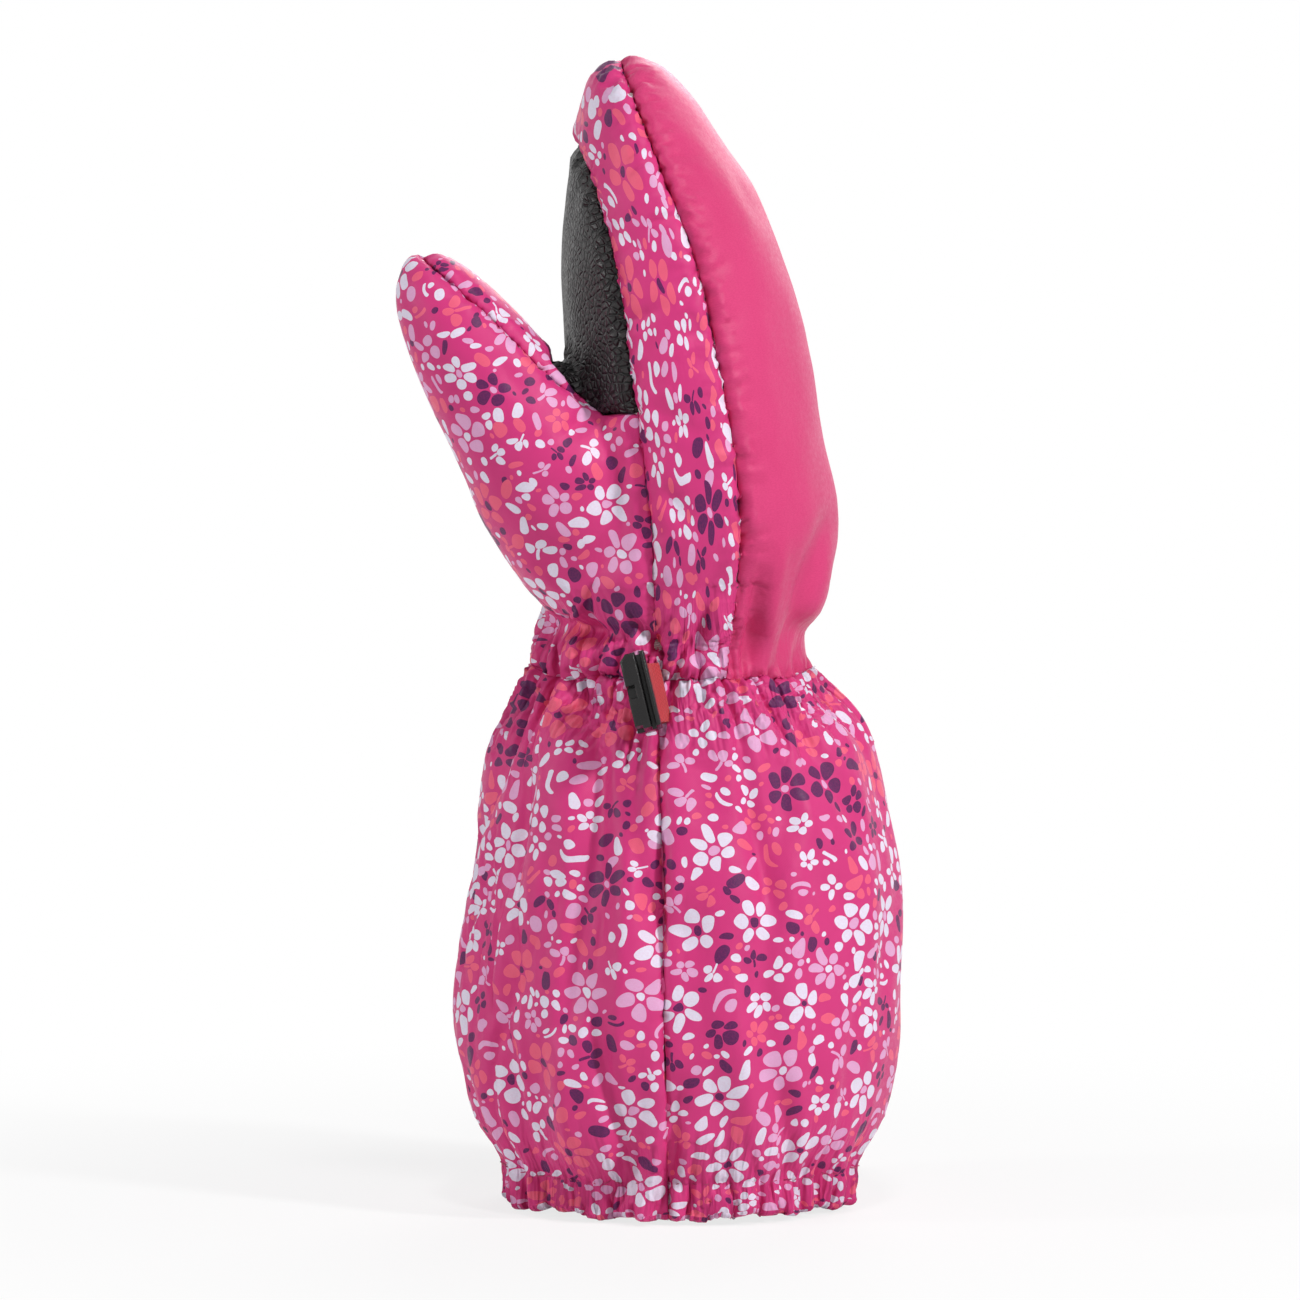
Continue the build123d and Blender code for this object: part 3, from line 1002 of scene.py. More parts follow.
@dataclass
class ClothSettling:
    """A small cloth simulation: spare cloth between gathered lines buckles into folds.

    Each mesh edge wants the length it has in the cut cloth. The cloth keeps off the padding
    behind it, bends softly, and stays near the form that the padding fills.
    """

    rounds: int = 150
    stretch: float = 0.9
    squeeze: float = 0.95
    bend: float = 0.03
    hold: float = 0.0015

    def springs(self, surface: ClothMesh) -> Array:
        """Every edge and face diagonal once, as pairs of point numbers."""
        pairs = surface.edges()
        across = [(f[0], f[2]) for f in surface.faces if len(f) == 4]
        across += [(f[1], f[3]) for f in surface.faces if len(f) == 4]
        every = np.sort(np.vstack([pairs, np.array(across)]), axis=1)
        return np.unique(every, axis=0)

    def settle(
        self,
        surface: ClothMesh,
        start: Array,
        spare: Array,
        level: Array,
        low: Array,
        high: Array,
        puckered: Array,
    ) -> Array:
        """Lets the cloth find its folds.

        Args:
            surface: The smooth form.
            start: Where the points start.
            spare: Spare cloth at each point, as a share, along level.
            level: The direction round the mitten at each point.
            low: How far each point may go inside the form.
            high: How far it may stand outside it.
            puckered: Spare cloth in every direction at each point, as a share.

        Returns:
            The settled points.
        """
        pairs = self.springs(surface)
        a, b = pairs[:, 0], pairs[:, 1]
        count = len(start)
        base = surface.points
        span = base[b] - base[a]
        plain = np.einsum("ij,ij->i", span, span)
        round_part = np.einsum("ij,ij->i", span, (level[a] + level[b]) / 2)
        stretch = 1 + (spare[a] + spare[b]) / 2
        rest = np.sqrt(plain + (stretch**2 - 1) * round_part**2) * (1 + (puckered[a] + puckered[b]) / 2)
        out = surface.normals()
        valence = np.bincount(a, minlength=count) + np.bincount(b, minlength=count)
        share = 1.0 / np.maximum(valence, 1)
        bent = self.curl(base, a, b, share)
        moved = start.copy()
        for _ in range(self.rounds):
            reach = moved[b] - moved[a]
            length = np.linalg.norm(reach, axis=1)
            off = length - rest
            pull = np.where(off > 0, self.stretch, self.squeeze) * off / np.maximum(length, 1e-9)
            force = reach * pull[:, None]
            step = np.empty_like(moved)
            for axis in range(3):
                step[:, axis] = np.bincount(a, force[:, axis], count) - np.bincount(b, force[:, axis], count)
            moved = moved + step * share[:, None]
            moved = moved + self.bend * (self.curl(moved, a, b, share) - bent)
            moved = moved + self.hold * (base - moved)
            lift = np.einsum("ij,ij->i", moved - base, out)
            moved = moved + out * (np.clip(lift, low, high) - lift)[:, None]
        return moved

    def curl(self, points: Array, a: Array, b: Array, share: Array) -> Array:
        """How far each point lies from its neighbours' mean."""
        return neighbour_sum(points, a, b) * share[:, None] - points


# --- The outer shell ---


@dataclass
class OuterShell:
    """The eight outer pieces, cut from one skin, mapped as cloth, folded and given their walls."""

    form: MittenForm
    folds: Folds
    voxel: float = 1.4
    wall: float = 0.5
    leather_wall: float = 0.7
    hem_steps: Tuple[Tuple[float, float], ...] = (
        (0.25, -0.7),
        (0.9, -1.25),
        (1.7, -1.45),
        (2.5, -1.2),
        (3.05, -0.5),
        (3.2, 0.8),
        (3.2, 4.0),
        (3.25, 8.0),
        (3.3, 12.4),
    )
    creases: Tuple[Crease, ...] = (
        Crease((40.5, 158.0), (27.5, 123.0), -1.7, 2.2),
        Crease((41.0, 150.0), (33.5, 127.0), 1.6, 2.8),
        Crease((29.0, 152.0), (23.5, 124.0), 1.3, 2.6),
        Crease((24.0, 146.0), (20.6, 123.0), -1.4, 2.0),
        Crease((35.0, 134.0), (32.0, 122.5), -1.2, 1.6),
        Crease((-25.0, 135.4), (-6.0, 133.6), -2.6, 2.0),
        Crease((-4.0, 137.0), (3.0, 128.0), -1.4, 1.4),
        Crease((12.0, 138.0), (10.0, 127.0), -1.2, 1.3),
        Crease((-16.0, 143.0), (-3.5, 146.0), 1.5, 4.5),
        Crease((-13.0, 139.0), (-11.0, 128.0), -1.4, 1.5),
        Crease((-30.0, 150.0), (-14.0, 138.0), 0.9, 3.0),
        Crease((-12.0, 184.0), (-20.0, 176.0), -0.9, 2.0),
        Crease((-8.0, 178.0), (-22.0, 162.0), 0.7, 5.0),
        Crease((-34.0, 194.0), (-28.0, 186.0), -0.5, 2.0),
        Crease((8.0, 158.0), (2.5, 166.0), -0.7, 2.2),
        Crease((10.0, 178.0), (1.0, 184.0), -0.5, 2.0),
        Crease((4.0, 207.0), (-6.0, 202.0), -0.55, 1.8),
        Crease((-18.0, 112.0), (-30.0, 58.0), 1.6, 4.0),
        Crease((-9.0, 116.0), (-19.0, 44.0), -1.9, 3.0),
        Crease((-24.0, 106.0), (-34.0, 70.0), -1.5, 2.4),
        Crease((-2.0, 104.0), (-8.0, 30.0), 1.5, 3.2),
        Crease((2.0, 96.0), (0.0, 46.0), -1.2, 2.2),
        Crease((30.0, 118.0), (47.0, 84.0), -1.6, 2.2),
        Crease((25.0, 119.0), (39.0, 80.0), 1.3, 3.0),
        Crease((18.0, 112.0), (27.0, 70.0), -1.2, 2.2),
        Crease((15.0, 60.0), (24.0, 12.0), 1.3, 4.0),
        Crease((-12.0, 48.0), (-5.0, 12.0), -1.7, 2.4),
        Crease((-20.0, 40.0), (-15.0, 10.0), 1.3, 3.0),
        Crease((28.0, 34.0), (31.0, 10.0), -1.4, 2.2),
        Crease((6.0, 34.0), (4.0, 10.0), -1.3, 1.8),
        Crease((-36.0, 50.0), (-27.0, 14.0), -1.5, 2.4),
    )
    settling: ClothSettling = field(default_factory=ClothSettling)
    seam_spare: float = 0.2
    strokes_before: float = 0.5  # share of the drawn creases that is there before settling
    strokes_after: float = 0.9  # and the share that is added after it
    valleys_after: float = 0.5
    inner_room: Tuple[float, float] = (-4.0, 2.4)  # how far in the cloth may lie, and the hand's change
    outer_room: Tuple[float, float] = (4.4, -1.9)  # the same for how far out
    crisp_rounds: int = 16
    crispness: float = 0.75
    map_corner: float = 5.0
    map_step: Tuple[float, float] = (31.0, 17.0)
    fine_zones: Tuple[Tuple[float, float], ...] = ((104.0, 144.0), (-1.0, 20.0))
    surface: Optional[ClothMesh] = None
    flat_points: Optional[Array] = None
    ids: Optional[Array] = None

    def cut_skin(self) -> Piece:
        """Makes the skin and cuts every seam line into it."""
        piece = self.form.skin(self.voxel)
        cutter = Cutter(piece)
        for low, high in self.fine_zones:
            cutter.refine(low, high)
        cutter.along(lambda p: p[:, 2] - self.form.hem)
        cutter.drop_below(self.form.hem)
        for value_at in self.form.seam_fields():
            cutter.along(value_at)
        cutter.done()
        return piece

    def map_cloth(self, piece: Piece, ids: Array) -> None:
        """Lays each piece flat, as it was cut, with its length upwards.

        Args:
            piece: The cut skin.
            ids: The panel number of each face.
        """
        mesh = bmesh.new()
        mesh.from_mesh(piece.data)
        mesh.faces.ensure_lookup_table()
        side_y = [f.calc_center_median().y / MM - self.form.shift_y for f in mesh.faces]
        for edge in mesh.edges:
            sides = edge.link_faces
            if len(sides) != 2:
                continue
            first, second = ids[sides[0].index], ids[sides[1].index]
            split = first == GUSSET and (side_y[sides[0].index] > 0) != (side_y[sides[1].index] > 0)
            edge.seam = bool(first != second or split)
        mesh.to_mesh(piece.data)
        mesh.free()
        piece.data.uv_layers.new(name="Fabric")
        edit_all(piece, bpy.ops.uv.unwrap, method="MINIMUM_STRETCH", margin=0.001)

    def true_size(self, surface: ClothMesh, ids: Array) -> None:
        """Scales and turns each piece of the cloth map to millimetres of cloth.

        Args:
            surface: The skin with its map; its map is changed.
            ids: The panel number of each face.
        """
        totals = np.array([len(f) for f in surface.faces])
        starts = np.concatenate([[0], np.cumsum(totals)[:-1]])
        corner_points = surface.points[np.concatenate([np.array(f) for f in surface.faces])]
        centre_y = surface.face_centres()[:, 1] - self.form.shift_y
        islands = np.where((ids == GUSSET) & (centre_y > 0), len(Panel), ids)
        for number in range(len(Panel) + 1):
            mine = np.flatnonzero(islands == number)
            real = flat = 0.0
            for face in mine:
                s, n = starts[face], totals[face]
                p, q = corner_points[s : s + n], surface.fabric[s : s + n]
                for k in range(1, n - 1):
                    real += np.linalg.norm(np.cross(p[k] - p[0], p[k + 1] - p[0])) / 2
                    a, b = q[k] - q[0], q[k + 1] - q[0]
                    flat += abs(a[0] * b[1] - a[1] * b[0]) / 2
            corners = np.repeat(islands == number, totals)
            cloth = surface.fabric[corners] * math.sqrt(real / flat)
            places = np.column_stack([cloth, np.ones(len(cloth))])
            up = np.linalg.lstsq(places, corner_points[corners][:, 2], rcond=None)[0][:2]
            up = up / np.linalg.norm(up)
            level = np.array([up[1], -up[0]])
            turned = np.column_stack([cloth @ level, cloth @ up])
            start = self.map_corner + number * np.array(self.map_step)
            surface.fabric[corners] = turned - turned.min(axis=0) + start

    def seam_lines(self, surface: ClothMesh, ids: Array) -> Dict[Seam, Array]:
        """The points on each seam.

        Args:
            surface: The cut skin.
            ids: The panel number of each face.

        Returns:
            Point numbers for each seam.
        """
        owner: Dict[Tuple[int, int], int] = {}
        found: Dict[Seam, set] = {seam: set() for seam in Seam}
        for number, face in zip(ids.tolist(), surface.faces):
            for i in range(len(face)):
                side = (min(face[i - 1], face[i]), max(face[i - 1], face[i]))
                other = owner.setdefault(side, number)
                if other == number:
                    continue
                pair = (PANELS[min(other, number)], PANELS[max(other, number)])
                for seam in Seam:
                    if seam.holds(pair):
                        found[seam].update(side)
        return {seam: np.array(sorted(points), int) for seam, points in found.items()}

    def seam_lift(self, surface: ClothMesh, lines: Dict[Seam, Array]) -> Tuple[Array, Array, Array]:
        """How far the seams move each point along its normal.

        Args:
            surface: The cut skin.
            lines: The points of each seam.

        Returns:
            The valleys and the puckers in millimetres, and the spare cloth beside the seams as a share.
        """
        total, ripples, spare = np.zeros((3, len(surface.points)))
        for seam, numbers in lines.items():
            if not len(numbers):
                LOG.warning("seam %s has no points", seam.name)
                continue
            pull = seam.pull()
            tree = KDTree(len(numbers))
            for place, number in enumerate(numbers):
                tree.insert(surface.points[number], place)
            tree.balance()
            nearest = [tree.find(p) for p in surface.points]
            distance = np.array([n[2] for n in nearest])
            foot = np.array([n[0] for n in nearest])
            near = bell(distance, pull.reach)
            ripple = cloud(foot, pull.spacing, pull.seed) - 0.1
            strength = 0.6 + 0.4 * cloud(foot, 25.0, pull.seed + 40)
            total += -pull.depth * bell(distance, pull.width)
            ripples += pull.pucker * strength * ripple * (near * smoothstep(0.0, 1.6, distance))
            spare = np.maximum(spare, self.seam_spare * pull.pucker * near)
        return total, ripples, spare

    def soft_dents(self, points: Array, turn: Array) -> Array:
        """Slow swells and dents in the padding and the cloth."""
        hand = smoothstep(126.0, 150.0, points[:, 2])
        swell = 0.6 * cloud(points, 24.0, 11) + 0.5 * cloud(points, 11.0, 12) + 0.2 * cloud(points, 5.0, 16)
        _, _, _, mean = self.form.section(points[:, 2])
        upright = np.column_stack([mean * np.cos(turn), mean * np.sin(turn), points[:, 2] * 0.2])
        hang = 2.0 * cloud(upright, 12.0, 13) + 1.1 * cloud(upright, 6.0, 15) + 0.8 * cloud(points, 25.0, 14)
        return hand * swell + (1 - hand) * hang

    def fold(self, surface: ClothMesh, lines: Dict[Seam, Array]) -> Array:
        """The folded positions of the skin's points.

        Args:
            surface: The cut skin.
            lines: The points of each seam.

        Returns:
            (n, 3) positions.
        """
        points = surface.points
        out = surface.normals()
        turn = self.form.turn_of(points)
        body = smoothstep(9.0, 3.0, np.abs(self.form.off_body(points)))
        valleys, ripples, spare = self.seam_lift(surface, lines)
        lift = self.folds.lift(turn, points[:, 2]) * body
        lift = lift + valleys + ripples + self.soft_dents(points, turn)
        drawn = points - np.array([self.form.shift_x, self.form.shift_y, 0.0])
        strokes = sum(crease.at(drawn, out) for crease in self.creases)
        moved = points + out * (lift + self.strokes_before * strokes)[:, None]
        level = np.stack([-out[:, 1], out[:, 0], np.zeros(len(out))], axis=1)
        level /= np.maximum(np.linalg.norm(level, axis=1, keepdims=True), 1e-9)
        hand = smoothstep(124.0, 150.0, points[:, 2])
        rounds = self.folds.spare(turn, points[:, 2]) * body
        inner, outer = (cuff + more * hand for cuff, more in (self.inner_room, self.outer_room))
        moved = self.settling.settle(surface, moved, rounds, level, inner, outer, spare)
        moved = moved + out * (self.valleys_after * valleys + self.strokes_after * strokes)[:, None]
        height = np.repeat(np.einsum("ij,ij->i", moved - points, out)[:, None], 3, axis=1)
        level_height = surface.relaxed(np.full(len(points), 0.5), self.crisp_rounds, height)
        moved = moved + out * self.crispness * (height - level_height)
        low = 1 - smoothstep(2.0, 12.0, points[:, 2])
        moved[:, 2] += self.folds.hem_rise(turn) * low
        near_wrist = bell(points[:, 2] - self.form.wrist, 5.0)
        palm = 0.5 - 0.5 * np.cos(turn)
        moved[:, 2] += near_wrist * (0.8 + 1.6 * palm) * cloud(points, 8.0, 31)
        blouse = bell(points[:, 2] - self.form.wrist - 10.0, 5.0) * body
        moved[:, 2] += blouse * palm * palm * (2.0 * cloud(points, 11.0, 32) - 2.2)
        inside = points[:, 2] > self.form.hem + 0.2
        return surface.relaxed(0.25 * inside, 1, moved)

    def hem_strip(self, panel_turn: Callable[[Array], Array], rim: Array, rim_turn: Array) -> ClothMesh:
        """The hem's cloth, from the lower edge round and up inside.

        Args:
            panel_turn: Makes a panel's turns run without a jump.
            rim: The lower edge's folded points.
            rim_turn: Their turns.

        Returns:
            The strip, with its cloth map.
        """
        order = np.argsort(-panel_turn(rim_turn))
        edge = rim[order]
        turn = rim_turn[order]
        inward = -level_way(turn)
        inside = [edge + inward * inset + np.array([0, 0, rise]) for inset, rise in self.hem_steps]
        grid = np.stack([edge, *inside])
        along = run_along(edge)
        rows = [np.stack([along, np.full(len(along), -down)], axis=1) for down in run_along(grid[:, 0])]
        cloth = np.stack(rows)
        return grid_mesh(grid, False, cloth)

    def build(self) -> Dict[Panel, Piece]:
        """Makes the eight pieces.

        Returns:
            Each panel's object, with its wall.
        """
        piece = self.cut_skin()
        ids = self.form.panel_of(read_mesh(piece).face_centres())
        self.map_cloth(piece, ids)
        surface = read_mesh(piece)
        self.true_size(surface, ids)
        bpy.data.objects.remove(piece)
        lines = self.seam_lines(surface, ids)
        turn = self.form.turn_of(surface.points)
        moved = self.fold(surface, lines)
        self.flat_points = surface.points
        self.surface = ClothMesh(moved, surface.faces, surface.fabric)
        self.ids = ids
        made = {}
        rim = surface.points[:, 2] < self.form.hem + ON_LINE
        cuff_x = self.form.beside(self.form.cuff_seam, surface.points)
        for number, panel in enumerate(Panel):
            cloth = self.surface.part(ids == number)
            if panel in CUFF_PANELS:
                back = panel is Panel.CUFF_BACK
                mine = rim & ((cuff_x > -2 * ON_LINE) if back else (cuff_x < 2 * ON_LINE))
                unroll = (lambda t: t) if back else (lambda t: np.mod(t, math.tau))
                cloth = cloth.joined(self.hem_strip(unroll, moved[mine], turn[mine]))
            piece = made[panel] = cloth.build(panel.value + "_cloth")
            edit_all(piece, bpy.ops.mesh.remove_doubles, threshold=ON_LINE * MM)
            give_wall(piece, self.leather_wall if panel is Panel.PALM else self.wall)
            LOG.info("%s: %d faces", piece.name, len(piece.data.polygons))
        return made


# --- Layers inside ---


def tucked(layer: ClothMesh, cover: BVHTree, gap: float, top: float = 1000.0, rounds: int = 3) -> Array:
    """Draws in the points of a layer that stand too near the cloth over it.

    Args:
        layer: The layer.
        cover: The cloth over it.
        gap: Least distance below the cover, in millimetres.
        top: Height above which the layer is left as it is.
        rounds: How often the layer is smoothed and drawn in again.

    Returns:
        (n, 3) positions.
    """
    points = layer.points
    for turn in range(rounds):
        low = layer.points[:, 2] < top
        if turn:
            points = layer.relaxed(0.3 * low, 1, points)
        points = points.copy()
        for number in np.flatnonzero(low):
            point = points[number]
            spot, normal, _, _ = cover.find_nearest(Vector(point))
            near = (Vector(point) - spot).dot(normal) + gap
            if near > 0:
                points[number] = point - near * np.array(normal)
    return points


@dataclass
class HandLayer:
    """One soft layer of the hand, in its back, palm and thumb pieces."""

    form: MittenForm
    name: str
    inset: float
    thickness: float
    bottom: float
    gap: float
    tuck_top: float = 160.0
    voxel: float = 2.4
    fluff: float = 0.25

    def build(self, cover: BVHTree) -> Dict[str, Piece]:
        """Makes the three pieces.

        Args:
            cover: The shell over them.

        Returns:
            The objects by CAD node.
        """
        piece = self.form.skin(self.voxel, self.inset, self.bottom - 8.0)
        cutter = Cutter(piece)
        back_seam = self.form.back_seam
        cutter.along(lambda p: p[:, 2] - self.bottom)
        cutter.drop_below(self.bottom)
        cutter.along(self.form.hand_seam(back_seam))
        cutter.along(self.form.palmward(back_seam, self.form.outside_heel))
        cutter.done()
        skin = read_mesh(piece)
        bpy.data.objects.remove(piece)
        centres = skin.face_centres()
        back = self.form.beside(back_seam, centres) > 0
        thumb = ~back & (self.form.outside_heel(centres) < 0)
        ripple = self.fluff * cloud(skin.points, 3.0, 51) + self.fluff * cloud(skin.points, 7.0, 52)
        skin.points = skin.points + skin.normals() * ripple[:, None]
        skin.points = tucked(skin, cover, self.gap, self.tuck_top)
        made = {}
        for place, wanted in (("back", back), ("palm", ~back & ~thumb), ("thumb", thumb)):
            node = f"{place}_{self.name}"
            made[node] = skin.part(wanted).build(node + "_layer")
            give_wall(made[node], self.thickness)
        return made


@dataclass
class Band:
    """A ring of elastic or lining that follows the cuff's folds."""

    form: MittenForm
    folds: Folds
    name: str
    levels: Sequence[float]
    inset: Callable[[float], float]
    thickness: float
    follow: float = 1.0
    gap: float = 0.8
    columns: int = 420

    def build(self, cover: BVHTree) -> Piece:
        """Makes the ring, with its cloth map.

        Args:
            cover: The shell over it.

        Returns:
            The object.
        """
        turns = np.arange(self.columns) * math.tau / self.columns
        rows = []
        cloth = []
        for z in self.levels:
            level = np.full(self.columns, float(z))
            spot = self.form.body_point(level, turns, self.inset(z))
            rows.append(spot + level_way(turns) * (self.follow * self.folds.lift(turns, level))[:, None])
            along = run_along(np.vstack([rows[-1], rows[-1][:1]]))
            cloth.append(np.stack([along, np.full(len(along), float(z))], axis=1))
        ring = grid_mesh(np.stack(rows), True, np.stack(cloth))
        ring.points = tucked(ring, cover, self.gap)
        made = ring.build(self.name)
        give_wall(made, self.thickness)
        return made


# --- Tape loop, clip and thread ---


@dataclass
class TapeLoop:
    """The red tape, folded round the clip's bar, with its two ends in the wrist seam."""

    root: Point  # the loop's own hinge, in the seam
    bar: Point  # the clip's hinge, the middle of its bar
    along: Point  # the way of both hinges, across the tape
    width: float = 13.5
    thickness: float = 0.9
    bore: float = 1.5
    root_half: float = 0.55
    sewn_in: float = 1.2
    waviness: float = 0.12
    steps_side: int = 8
    steps_round: int = 18
    columns: int = 16

    def path(self) -> List[Tuple[float, float]]:
        """The tape's middle line as distance from the root and height off the loop's plane."""
        length = math.dist(self.root, self.bar)
        radius = self.bore + self.thickness / 2
        side = []
        for share in np.linspace(0, 1, self.steps_side + 1)[:-1]:
            rise = self.root_half + (radius - self.root_half) * share**1.4
            side.append((length * share - self.sewn_in * (1 - share), rise))
        angles = [math.pi / 2 - math.pi * step / self.steps_round for step in range(self.steps_round + 1)]
        bend = [(length + radius * math.cos(angle), radius * math.sin(angle)) for angle in angles]
        return side + bend + [(x, -y) for x, y in reversed(side)]

    def build(self) -> Piece:
        """Makes the tape, with its cloth map.

        Returns:
            The object.
        """
        axis = Vector(self.along).normalized()
        reach = (Vector(self.bar) - Vector(self.root)).normalized()
        side = axis.cross(reach).normalized()
        rows = []
        cloth = []
        run = 0.0
        line = self.path()
        for number, (distance, rise) in enumerate(line):
            if number:
                run += math.dist(line[number - 1], line[number])
            row = []
            for k in range(self.columns + 1):
                across = (k / self.columns - 0.5) * self.width
                wave = self.waviness * math.sin(run * 0.9 + across * 0.35)
                off = side * (rise + wave * math.copysign(1, rise))
                row.append(tuple(Vector(self.root) + reach * distance + off + axis * across))
            rows.append(row)
            cloth.append([((k / self.columns) * self.width, run) for k in range(self.columns + 1)])
        made = grid_mesh(np.array(rows), False, np.array(cloth)).build("woven_tape")
        give_wall(made, self.thickness, 0.0)
        soften_edges(made, 0.18, 2, 50.0)
        made.data.shade_smooth()
        return made


@dataclass
class SnapHook:
    """The moulded hook clip with softened edges, over its own frame piece."""

    node: str = "clip"
    edge: float = 0.28

    def build(self, source: Piece) -> Piece:
        """Makes the clip from a merged copy of its frame piece.

        Args:
            source: The frame's clip.

        Returns:
            The object.
        """
        made = bpy.data.objects.new("snap_hook", source.data.copy())
        bpy.context.collection.objects.link(made)
        edit_all(made, bpy.ops.mesh.remove_doubles, threshold=0.005 * MM)
        edit_all(made, bpy.ops.mesh.dissolve_limited, angle_limit=math.radians(1.5))
        soften_edges(made, self.edge, 3, 32.0)
        pick(made)
        bpy.ops.object.shade_smooth_by_angle(angle=math.radians(40))
        return made


@dataclass
class Thread:
    """A row of stitches on the cloth."""

    name: str
    length: float
    gap: float
    radius: float
    sink: float = 0.1
    sides: int = 5
    # place along the stitch, thickness and rise, as shares of its length and radius
    rings: Tuple[Point, ...] = (
        (-0.5, 0.35, -0.9),
        (-0.36, 0.9, 0.0),
        (0.0, 1.0, 0.35),
        (0.36, 0.9, 0.0),
        (0.5, 0.35, -0.9),
    )

    def stitch(self, middle: Vector, along: Vector, out: Vector) -> ClothMesh:
        """One stitch as a small bent bead of thread.

        Args:
            middle: Its middle on the cloth, in millimetres.
            along: Its direction.
            out: The cloth's normal.

        Returns:
            The stitch.
        """
        side = along.cross(out).normalized()
        angles = [math.tau * k / self.sides for k in range(self.sides)]
        ways = [side * math.cos(angle) + out * math.sin(angle) for angle in angles]
        rings = []
        for place, size, rise in self.rings:
            centre = middle + along * (place * self.length) + out * (self.radius * rise - self.sink)
            rings.append([tuple(centre + way * self.radius * size) for way in ways])
        made = grid_mesh(np.array(rings), True)
        close_ends(made, self.sides)
        return made

    def along_path(self, path: Sequence[Vector], cloth: BVHTree, across: bool = False) -> ClothMesh:
        """Stitches along a path on the cloth.

        Args:
            path: Points near the cloth, in millimetres.
            cloth: The cloth's surface.
            across: Whether each stitch lies across the path.

        Returns:
            All the stitches.
        """
        total = ClothMesh(np.zeros((0, 3)), [])
        run = 0.0
        pitch = self.length + self.gap
        for before, after in zip(path, path[1:]):
            span = (after - before).length
            while run < span:
                spot = before.lerp(after, run / span)
                place, out, _, _ = cloth.find_nearest(spot)
                along = (after - before).normalized()
                along = (along - out * along.dot(out)).normalized()
                if across:
                    along = along.cross(out).normalized()
                total = total.joined(self.stitch(place, along, out))
                run += pitch
            run -= span
        return total


# --- Finishes ---


def linear(red: int, green: int, blue: int) -> Tuple[float, float, float, float]:
    """A colour as the shader takes it.

    Args:
        red: 0 to 255, as seen on a screen.
        green: The same.
        blue: The same.

    Returns:
        Linear red, green, blue and 1.
    """
    made = []
    for part in (red, green, blue):
        value = part / 255
        made.append(value / 12.92 if value <= 0.04045 else ((value + 0.055) / 1.055) ** 2.4)
    return (made[0], made[1], made[2], 1.0)


class Nodes:
    """A node tree, with short calls to add and link its nodes."""

    def __init__(self, tree: bpy.types.NodeTree) -> None:
        """Works on a tree."""
        self.tree = tree

    def add(self, kind: str, **settings: object) -> bpy.types.Node:
        """Adds a node.

        Args:
            kind: Its type, without the ShaderNode prefix.
            **settings: Its properties.

        Returns:
            The node.
        """
        made = self.tree.nodes.new("ShaderNode" + kind)
        for key, value in settings.items():
            setattr(made, key, value)
        return made

    def feed(self, socket: Socket, value: object) -> None:
        """Links a socket into another, or sets a plain value."""
        if isinstance(value, Socket):
            self.tree.links.new(value, socket)
        else:
            socket.default_value = value

    def put(self, node: bpy.types.Node, **values: object) -> None:
        """Feeds a node's inputs by name, with _ for each space."""
        for key, value in values.items():
            self.feed(node.inputs[key.replace("_", " ")], value)

    def math(self, operation: str, *values: object) -> Socket:
        """A maths node's result."""
        made = self.add("Math", operation=operation)
        for socket, value in zip(made.inputs, values):
            self.feed(socket, value)
        return made.outputs[0]

    def times(self, first: object, second: object) -> Socket:
        """The product of two values."""
        return self.math("MULTIPLY", first, second)

    def plus(self, first: object, second: object) -> Socket:
        """The sum of two values."""
        return self.math("ADD", first, second)

    def minus(self, first: object, second: object) -> Socket:
        """The first value less the second."""
        return self.math("SUBTRACT", first, second)


